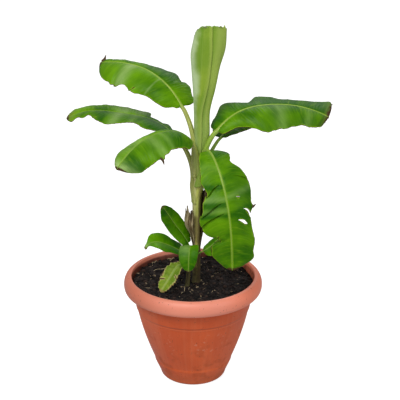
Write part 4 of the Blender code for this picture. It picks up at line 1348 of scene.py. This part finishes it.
# %% Make the husks
HUSKS = {
    "left_husk": dict(foot=0.340, top=0.441, bearings=(146, 250), flare=0.014, opens=0.35,
                      torn=0.7, slant=0.006, node="husk_left",
                      colours=((96, 78, 46), (188, 172, 134), (44, 32, 18))),
    "right_husk": dict(foot=0.332, top=0.490, bearings=(-44, 72), flare=0.010, opens=0.50,
                       torn=1.0, slant=0.0, node="husk_right",
                       # These colours are painted shade, about half as bright as the left husk's.
                       colours=((46, 36, 22), (98, 86, 56), (22, 17, 11))),
}
HUSK_THICKNESS = 0.0009
HUSK_STANDS_OFF = 0.0012
HUSK_OPENS_OVER = 0.4
HUSK_BULGE = 0.006
HUSK_RIPPLE = 0.0022
HUSK_FOOT_TUCK = 0.002
TORN_WAVE = 0.008
TOOTH_HEIGHT = 0.006


def husk_finish(name, dark, pale, black):
    finish = Finish(name, 0.8, 0.25)
    grain = finish.read("grain", "vector")
    fine = finish.streaks(grain, 9.0, 30.0)
    finish.base(finish.ramp(fine, 0.38, 0.66), dark, pale)
    finish.lay(finish.ramp(finish.streaks(grain, 2.5, 16.0), 0.48, 0.64) * 0.8, black)
    return finish.done(finish.bump(fine, 0.0012, 0.8))


def husk_place(husk):
    first, last = husk["bearings"]

    def place(along, across):
        bearing = np.radians(first + (last - first) * across)
        teeth = np.sin(across * 57.0)
        torn = TORN_WAVE * np.sin(across * 17.0) * np.cos(across * 5.0)
        torn = (torn + TOOTH_HEIGHT * np.sign(teeth) * np.abs(teeth) ** 0.5) * husk["torn"]
        torn = torn + husk["slant"] * (across - 0.5)
        height = husk["foot"] + (husk["top"] + torn - husk["foot"]) * along
        flare = husk["flare"] * soft_step(along, husk["opens"], husk["opens"] + HUSK_OPENS_OVER)
        stand_off = (HUSK_STANDS_OFF + flare + HUSK_BULGE * np.sin(np.pi * along) ** 2
                     + HUSK_RIPPLE * along * np.sin(across * 31.0) - HUSK_FOOT_TUCK * (1 - along) ** 4)
        radius = stem_radius(height) + stand_off
        points = np.stack([stem_middle(height) + radius * np.cos(bearing), radius * np.sin(bearing),
                           height], axis=1)
        return points, {"grain": grain_of(bearing, height)}

    return place


for husk_name, husk in HUSKS.items():
    skin = husk_finish(husk_name + "_skin", *husk["colours"])
    piece = grid_sheet(husk_name, 60, 90, husk_place(husk), HUSK_THICKNESS, skin)
    hand_over(piece, "dry_brown", husk["node"])

# %% [markdown]
# ## The side shoot
# Beside the stem a young shoot has come up from the same root. Its leaves are small copies of the
# big ones, so the same blade tree grows them, with other numbers and a thinner sheet.

# %% Make the shoot
SHOOT_FOOT = np.array([-0.014, -0.026, STEM_FOOT])
SHOOT_TOP = np.array([-0.004, -0.013, 0.345])
SHOOT_RADII = (0.0055, 0.0040)
SHOOT_LEAVES = {
    "upright": dict(
        height=0.341, stalk=0.017, blade=0.113, half=(0.034, 0.026), rise=(81, 68, 53, 56, 48),
        bearing=(187, 180, 162), roll=(-7, -15, -3), fold=(16, 28), droop=(42, 18), widest=0.50,
        ends=(2.4, 2.2), base_left=3.6, tip_left=3.2, lobe=0.20, tone=0.22,
        shades=(("both", 0.45, 0.18, 0.25), ("both", 0.98, 0.05, 0.5)), seed=11.0,
        notches=(("left", 0.80, 0.09, -0.12), ("right", 0.03, 0.06, -0.40))),
    "left": dict(
        height=0.316, stalk=0.021, blade=0.117, half=(0.036, 0.027), rise=(68, 43, 31, 15, -63),
        bearing=(190, 192, 210), roll=(-1, -21, 5), fold=(19, 28), droop=(35, 19), widest=0.62,
        ends=(2.3, 2.0), base_right=5.0, lobe=0.20, tone=0.35,
        shades=(("both", 0.20, 0.15, -0.35), ("both", 0.70, 0.12, 0.25), ("both", 0.98, 0.06, 0.5)),
        blooms=(("both", 0.98, 0.09, 0.7),), seed=12.0,
        notches=(("left", 0.40, 0.12, 0.18), ("left", 0.92, 0.07, 0.75),
                 ("right", 0.36, 0.10, 0.20), ("right", 0.90, 0.10, 0.60))),
    "front": dict(
        height=0.336, stalk=0.021, blade=0.084, half=(0.022, 0.026), rise=(76, 48, -34, -74, -82),
        bearing=(-84, -94, -100), roll=(4, 0, -2), fold=(17, 16), droop=(35, 37), widest=0.42,
        ends=(2.6, 2.2), lobe=0.20, tone=0.40, blooms=(("right", 0.30, 0.22, 0.35),), seed=13.0),
    "low": dict(
        height=0.301, stalk=0.023, blade=0.090, half=(0.020, 0.021), rise=(42, 8, -42, -43, -57),
        bearing=(213, 224, 218), roll=(-2, -8, -10), fold=(18, 28), droop=(32, 13), widest=0.49,
        ends=(2.35, 2.7), lobe=0.02, tone=0.60, seed=14.0, worn=1.0,
        tears=(("left", 0.42, 0.4, 2.0, 0.0010, 0.003), ("right", 0.62, 0.35, 2.0, 0.0008, 0.003))),
    "right": dict(
        height=0.318, stalk=0.034, blade=0.065, half=(0.017, 0.034), rise=(40, 22, 29, 35, 15),
        bearing=(5, 20, 38), roll=(4, 8, -7), fold=(17, 14), droop=(37, 39), widest=0.42,
        ends=(2.3, 2.1), base_right=4.5, lobe=0.06, tone=0.30, seed=15.0),
}
SHOOT_ROWS = 90
SHOOT_COLUMNS = 33
SHOOT_THICKNESS = 0.0007
SHOOT_RINGS = 70
SHOOT_AROUND = 48
SHOOT_FLARE = 0.0012
SHOOT_FLARE_HEIGHT = 0.006
SPIRAL_STEP = 0.0005
SPIRAL_TURNS = 3.0
DOME_STARTS = 0.94
ROOT_SINKS_TO = 0.6
SHOOT_STALK_RADII = (0.0030, 0.0017)
YOUNG_UPPER = leaf_finish("young_leaf_upper_side", (38, 100, 0), (100, 158, 0), (126, 172, 40),
                          (104, 92, 52), 0.42, vein_count=48.0, dry_width=0.0005, tip_dry=0.96,
                          sheen=0.25, rib_pale=0.25)
WORN_UPPER = leaf_finish("worn_leaf_upper_side", (60, 100, 12), (142, 168, 46), (206, 208, 132),
                         (162, 140, 84), 0.5, vein_count=48.0, tip_dry=0.95, sheen=0.4, rib_pale=0.4)


def shoot_at(height):
    """How far up the shoot a height lies, from 0 to 1, and the shoot's radius there."""
    share = (height - SHOOT_FOOT[2]) / (SHOOT_TOP[2] - SHOOT_FOOT[2])
    return share, SHOOT_RADII[0] + share * (SHOOT_RADII[1] - SHOOT_RADII[0])


def make_shoot_stem():
    height, turn = ring_grid(np.linspace(SHOOT_FOOT[2], SHOOT_TOP[2], SHOOT_RINGS), SHOOT_AROUND)
    share, radius = shoot_at(height)
    radius = radius + SHOOT_FLARE * np.exp(-(height - SHOOT_FOOT[2]) / SHOOT_FLARE_HEIGHT)
    radius = radius - SPIRAL_STEP * np.mod(turn / (2 * np.pi) + share * SPIRAL_TURNS, 1.0)
    dome = np.clip((share - DOME_STARTS) / (1 - DOME_STARTS), 0, 1)
    radius = radius * np.sqrt(1 - 0.9 * dome ** 2)
    middle = SHOOT_FOOT + share[..., None] * (SHOOT_TOP - SHOOT_FOOT)
    ring = np.stack([radius * np.cos(turn), radius * np.sin(turn), np.zeros_like(radius)], axis=-1)
    stem = ring_mesh("shoot_stem", middle + ring, along=share * 0.5 + 0.05,
                     grain=grain_of(turn, height))
    dress(stem, SHOOT_SKIN)
    return stem


hand_over(make_shoot_stem(), "stem_green", "shoot_stem")
for leaf_name, leaf in SHOOT_LEAVES.items():
    share, radius = shoot_at(leaf["height"])
    middle = SHOOT_FOOT + share * (SHOOT_TOP - SHOOT_FOOT)
    leaf["root"] = middle + ROOT_SINKS_TO * radius * direction(leaf["bearing"][0])
    worn = leaf.get("worn", 0.0)
    blade = grow_blade("shoot_" + leaf_name + "_blade", leaf, SHOOT_ROWS, SHOOT_COLUMNS,
                       SHOOT_THICKNESS, WORN_UPPER if worn else YOUNG_UPPER, LEAF_LOWER,
                       lobe_start=0.003, vein_count=18.0, vein_height=0.0003, groove=0.0006,
                       ruffle=0.0015 + 0.007 * worn, ruffle_count=7.0 + 9.0 * worn,
                       ragged=0.03 + 0.22 * worn, cockle=0.001 + 0.003 * worn)
    hand_over(blade, "leaf_green", "shoot_leaf_" + leaf_name)
    stalk = make_stalk("shoot_" + leaf_name + "_stalk", leaf, YOUNG_STALK, SHOOT_STALK_RADII)
    hand_over(stalk, "stem_green")

# %% [markdown]
# ## The pot
# The pot is pressed from clay-coloured plastic: a floor, a wall that swells gently upwards, and a
# broad rolled rim. Shallow steps run round the wall below the rim and above the foot. All of it is
# one closed outline turned round the middle, so the rings of points follow that outline.

# %% The pot's outline
POT_HEIGHT = 0.268
POT_FOOT_RADIUS = 0.0818
POT_NECK_RADIUS = 0.145
POT_RIM_RADIUS = 0.170
POT_WALL = 0.004
BOTTOM_ROUND = 0.0115
RIM_MIDDLE = (0.156, 0.249)
RIM_LIP = (0.1525, 0.255)
LIP_HANGS = 0.0035
WALL_FOOT = 0.012
WALL_NECK = 0.226
UPPER_STEP = 0.186
LOWER_STEP = 0.048
STEP_DEPTH = 0.0020
BEAD_BELOW_STEP = 0.004
BEAD_HEIGHT = 0.0010
BEAD_WIDTH = 0.0014
POT_AROUND = 160
FLOOR_INSET = 0.006
INNERMOST = 0.0006


def pot_wall_radius(height):
    share = (np.asarray(height, float) - WALL_FOOT) / (WALL_NECK - WALL_FOOT)
    return POT_FOOT_RADIUS + (POT_NECK_RADIUS - POT_FOOT_RADIUS) * (1 - (1 - share) ** 1.55)


def inner_wall(points, gap, floor):
    """The inside of the pot as (radius, height) points, from the middle of its floor up the wall."""
    wall = [(float(pot_wall_radius(height)) - POT_WALL - gap, height)
            for height in np.linspace(WALL_FOOT, WALL_NECK, points)]
    return [(INNERMOST, floor), (wall[0][0] - FLOOR_INSET, floor)] + wall


def pot_outline():
    """The pot's section as (radius, height) points, from the middle of its floor inside, up,
    over the rim and down to the middle of its underside."""
    outline = inner_wall(16, 0.0, POT_WALL) + [RIM_LIP]
    for angle in np.radians(np.linspace(106, -98, 44)):
        across, up = math.cos(angle), math.sin(angle)
        outline.append(
            (RIM_MIDDLE[0] + (POT_RIM_RADIUS - RIM_MIDDLE[0]) * math.copysign(abs(across) ** 0.85, across),
             RIM_MIDDLE[1] + (POT_HEIGHT - RIM_MIDDLE[1]) * math.copysign(abs(up) ** 0.9, up)
             - LIP_HANGS * max(0.0, across)))
    for height in np.linspace(WALL_NECK, WALL_FOOT, 120):
        recess = STEP_DEPTH * (soft_step(height, UPPER_STEP + 0.0012, UPPER_STEP - 0.0012)
                               * soft_step(height, LOWER_STEP - 0.005, LOWER_STEP + 0.004))
        bead = BEAD_HEIGHT * math.exp(-((height - UPPER_STEP + BEAD_BELOW_STEP) / BEAD_WIDTH) ** 2)
        outline.append((float(pot_wall_radius(height)) - recess + bead, height))
    for angle in np.radians(np.linspace(15, 90, 8)):
        outline.append((POT_FOOT_RADIUS - BOTTOM_ROUND * (1 - math.cos(angle)),
                        WALL_FOOT - WALL_FOOT * math.sin(angle)))
    return np.array(outline + [(INNERMOST, 0.0)])


def turned(outline, around):
    """The rings of points of an outline that turns round the middle, and the angles on them."""
    radius, turn = ring_grid(outline[:, 0], around)
    height = np.repeat(outline[:, 1:2], around, axis=1)
    return np.stack([radius * np.cos(turn), radius * np.sin(turn), height], axis=-1), turn


# %% Make the pot
def pot_finish():
    finish = Finish("clay_plastic_skin", 0.42)
    height, inside = finish.read_all("height", "inside")
    grain = finish.read("grain", "vector")
    from_left = finish.part(grain, "x")
    drift = finish.patches(7.0, 0.36, 0.66)
    finish.base(drift, (212, 86, 34), (228, 100, 44))
    finish.lay(finish.ramp(finish.streaks(grain, 11.0, 3.0), 0.42, 0.70) * 0.14, (236, 146, 104))
    # Painted light and shade on the rim: it is laid paler than the wall, as the light on its upper side,
    # darker towards the left and brighter towards the right.
    rim_lit_front_shaded_left = finish.blend(finish.ramp(from_left, -0.2, -0.95), (244, 154, 130), (204, 118, 92))
    rim_painted_light_and_shade = finish.blend(finish.ramp(from_left, 0.3, 0.95), rim_lit_front_shaded_left, (255, 142, 108))
    finish.lay(finish.ramp(height, 0.2285, 0.2315) * 0.85, rim_painted_light_and_shade)
    # Patchy darkening towards the bottom of the wall, which is also rougher there.
    lower_dark_patches = finish.patches(26.0, 0.50, 0.66, 6.0) * finish.ramp(height, 0.20, 0.08)
    scuffs = (finish.patches(120.0, 0.60, 0.68, 5.0) * finish.patches(22.0, 0.40, 0.56)
              * finish.band(height, 0.095, 0.115, 0.155, 0.172))
    within = finish.ramp(inside, 0.4, 0.9)
    unlit = 0.85 - finish.ramp(from_left, 0.35, 0.85) * 0.45
    # Painted shadow and highlight at the upper step: a dark line under its ledge and a pale line on the
    # bead below it.
    step = height - UPPER_STEP
    for share, colour in (
            (finish.band(step, -0.0025, 0.0, 0.0005, 0.0030) * 0.5, (150, 62, 30)),
            (finish.band(step, -0.0065, -0.0045, -0.0040, -0.0025) * 0.35, (236, 128, 84)),
            (lower_dark_patches * 0.32, (150, 66, 38)),
            (finish.ramp(height, 0.055, 0.0) * 0.35, (170, 96, 60)),
            (scuffs * 0.55, (226, 150, 122)),
            (finish.patches(190.0, 0.685, 0.71, 2.0) * 0.6, (104, 50, 30)),
            (within * finish.ramp(height, 0.266, 0.254) * unlit, (84, 38, 28)),
            (finish.patches(60.0, 0.44, 0.62, 6.0) * within * 0.5, (70, 36, 26))):
        finish.lay(share, colour)
    normal = finish.bump(finish.patches(38.0, 0.2, 0.8, 4.0), 0.0006, 0.35)
    normal = finish.bump(scuffs, 0.0004, 0.5, normal=normal)
    return finish.done(normal, drift * 0.08 + 0.40 + lower_dark_patches * 0.2 + scuffs * 0.15)


outline = pot_outline()
rings, turn = turned(outline, POT_AROUND)
top_point = int(np.argmax(outline[:, 1]))
inside, _ = ring_grid(np.arange(len(outline)) < top_point - 3, POT_AROUND)
pot = ring_mesh("clay_pot", rings, height=rings[..., 2], inside=inside,
                grain=grain_of(turn, rings[..., 2]))
dress(pot, pot_finish())
hand_over(pot, "clay_plastic", "pot")

# %% [markdown]
# ## The soil
# Potting soil is dark, moist and lumpy, with crumbs of every size and a few pale chips of bark and
# straw. The body of the soil is a turned solid with an uneven top. The crumbs are thousands of
# small many-sided grains, which a Geometry Nodes tree scatters on the top from a fixed seed.


# %% Geometry Nodes: scatter grains on the ground
def scatter_tree():
    tree, given, result = new_group("scatter_grains", "GeometryNodeTree", {
        **MESH, "Density": 20000.0, "Smallest": 0.001, "Largest": 0.004, "Stretch": 1.0,
        "Flatness": 0.7, "Pale Low": 0.0, "Pale High": 0.5, "Roughen": 0.0008, "Seed": 1,
        "Material": "Material"}, MESH)
    points = put(tree, "GeometryNodeDistributePointsOnFaces", mesh=given["Geometry"],
                 selection=named(tree, "ground") > 0.99, density=given["Density"],
                 seed=given["Seed"])

    def chance(low, high, seed_step):
        return put(tree, "FunctionNodeRandomValue", {"data_type": "FLOAT"}, min=low, max=high,
                   seed=given["Seed"] + seed_step)

    size = chance(0.0, 1.0, 1.0) ** 2.5 * (given["Largest"] - given["Smallest"]) + given["Smallest"]
    scale = combined(tree, size * given["Stretch"], size, size * given["Flatness"])
    turn = combined(tree, chance(-0.5, 0.5, 2.0), chance(-0.5, 0.5, 3.0),
                    chance(0.0, 2 * math.pi, 4.0))
    placed = put(tree, "GeometryNodeInstanceOnPoints", points=points, scale=scale,
                 instance=put(tree, "GeometryNodeMeshIcoSphere", radius=1.0, subdivisions=1),
                 rotation=put(tree, "FunctionNodeEulerToRotation", euler=turn))
    toned = store(tree, placed, "pale", chance(given["Pale Low"], given["Pale High"], 5.0),
                  domain="INSTANCE")
    solid = put(tree, "GeometryNodeRealizeInstances", geometry=toned)
    noisy = cloud(tree, put(tree, "GeometryNodeInputPosition"), 260.0, 1.0).output("color")
    centred = calculate(tree, "ShaderNodeVectorMath", "SUBTRACT", noisy, (0.5, 0.5, 0.5))
    rough = put(tree, "GeometryNodeSetPosition", geometry=solid,
                offset=scaled(tree, centred, given["Roughen"] * 2.0))
    joined = put(tree, "GeometryNodeJoinGeometry", geometry=rough)
    tree.links.new(given["Geometry"].socket, joined.socket.node.inputs[0])
    return end_tree(tree, result, joined, given["Material"])


SCATTER_TREE = scatter_tree()
print("scatter tree with", len(SCATTER_TREE.nodes), "nodes")


# %% Make the soil
def soil_finish():
    finish = Finish("moist_soil", 0.85, 0.3)
    pale = finish.read("pale")
    coarse = finish.patches(70.0, 0.35, 0.65, 5.0)
    fine = finish.patches(480.0, 0.3, 0.7, 4.0)
    finish.base(coarse, (5, 3, 3), (32, 20, 16))
    finish.lay(finish.ramp(pale, 0.45, 0.72) * 0.7, (74, 52, 42))
    finish.lay(finish.ramp(pale, 0.74, 0.98), (200, 176, 140))
    finish.lay(fine * 0.4, (20, 14, 13))
    return finish.done(finish.bump(fine, 0.0012, 0.7), 0.92 - coarse * 0.25)


SOIL_AROUND = 200
SOIL_WALL_GAP = 0.0003
SOIL_EDGE_OUTSIDE = 0.0064
SOIL_TOP_RINGS = 90
SOIL_TILT = (-0.012, 0.028)
LUMPS = ((0.0034, 45.0), (0.0016, 140.0))
CRUMBS = (0.0010, 400.0)
BODY_PALENESS = 0.15
SCATTERS = (
    dict(density=34000.0, smallest=0.0008, largest=0.0060, flatness=0.8, pale_low=0.0,
         pale_high=0.70, seed=3),
    dict(density=2600.0, smallest=0.0010, largest=0.0030, stretch=2.2, flatness=0.4,
         pale_low=0.55, pale_high=0.95, seed=17),
    dict(density=500.0, smallest=0.0007, largest=0.0012, stretch=9.0, flatness=0.7,
         pale_low=0.7, pale_high=1.0, roughen=0.0004, seed=29),
)


def soil_height(radius):
    return smooth((0.0, 0.055, 0.095, 0.130, 0.150),
                  (SOIL_TOP, SOIL_TOP, SOIL_TOP - 0.002, SOIL_TOP, SOIL_TOP - 0.002), radius)


def soil_slope(x, y):
    return SOIL_TILT[0] * x + SOIL_TILT[1] * y


def make_soil():
    wall = inner_wall(14, SOIL_WALL_GAP, POT_WALL + SOIL_WALL_GAP)
    top = [(radius, float(soil_height(radius)))
           for radius in np.linspace(wall[-1][0] + SOIL_EDGE_OUTSIDE, INNERMOST, SOIL_TOP_RINGS)]
    rings, _ = turned(np.array(wall + top), SOIL_AROUND)
    ground = np.zeros(rings.shape[:2])
    ground[len(wall) + 1:] = 1.0
    for spot in rings[len(wall) + 1:].reshape(-1, 3):
        flat = Vector((spot[0], spot[1], 0.0))
        lump = sum(height * noise.noise(flat * count) for height, count in LUMPS)
        spot[2] += lump + soil_slope(flat.x, flat.y) + CRUMBS[0] * noise.noise(flat * CRUMBS[1])
    soil = ring_mesh("potting_soil", rings, ground=ground, pale=ground * BODY_PALENESS)
    skin = soil_finish()
    for scatter in SCATTERS:
        add_tree(soil, SCATTER_TREE, **scatter, material=skin)
    bake(soil)
    dress(soil, skin)
    return soil


hand_over(make_soil(), "potting_soil", "soil")

# %% Straws on the soil
PALE_STRAW = thread_finish("pale_straw", (150, 128, 92), (214, 200, 164))
STRAWS = (
    ("long_straw", (-0.098, 0.053), (-0.056, 0.074), 0.004, 0.0011),
    ("short_straw", (-0.082, 0.030), (-0.050, 0.056), -0.003, 0.0009),
    ("straw_by_the_wall", (-0.104, 0.094), (-0.092, 0.108), 0.001, 0.0011),
    ("bark_chip", (-0.066, 0.118), (-0.048, 0.122), 0.000, 0.0016),
    ("root_thread", (-0.021, -0.036), (-0.029, -0.072), 0.004, 0.0007),
    ("other_root_thread", (-0.008, -0.038), (-0.004, -0.066), -0.004, 0.0006),
)
STRAW_LIFT = 0.0030
STRAW_WAVE = 0.0015
STRAW_FLATNESS = 0.6
for straw_name, start, end, bow, width in STRAWS:
    share = np.linspace(0, 1, 20)
    way = np.array(end) - np.array(start)
    aside = np.array((-way[1], way[0])) / np.linalg.norm(way)
    level = np.array(start) + share[:, None] * way + np.sin(np.pi * share)[:, None] * bow * aside
    height = soil_height(np.hypot(*level.T)) + soil_slope(*level.T)
    height = height + STRAW_LIFT + STRAW_WAVE * np.sin(share * 9.0)
    radius = width * (np.sin(np.pi * np.clip(share, 0.03, 0.97)) ** 0.3)
    thread_tube(straw_name, np.column_stack([level, height]), radius, STRAW_FLATNESS, PALE_STRAW)
print(len(STRAWS), "straws on the soil")
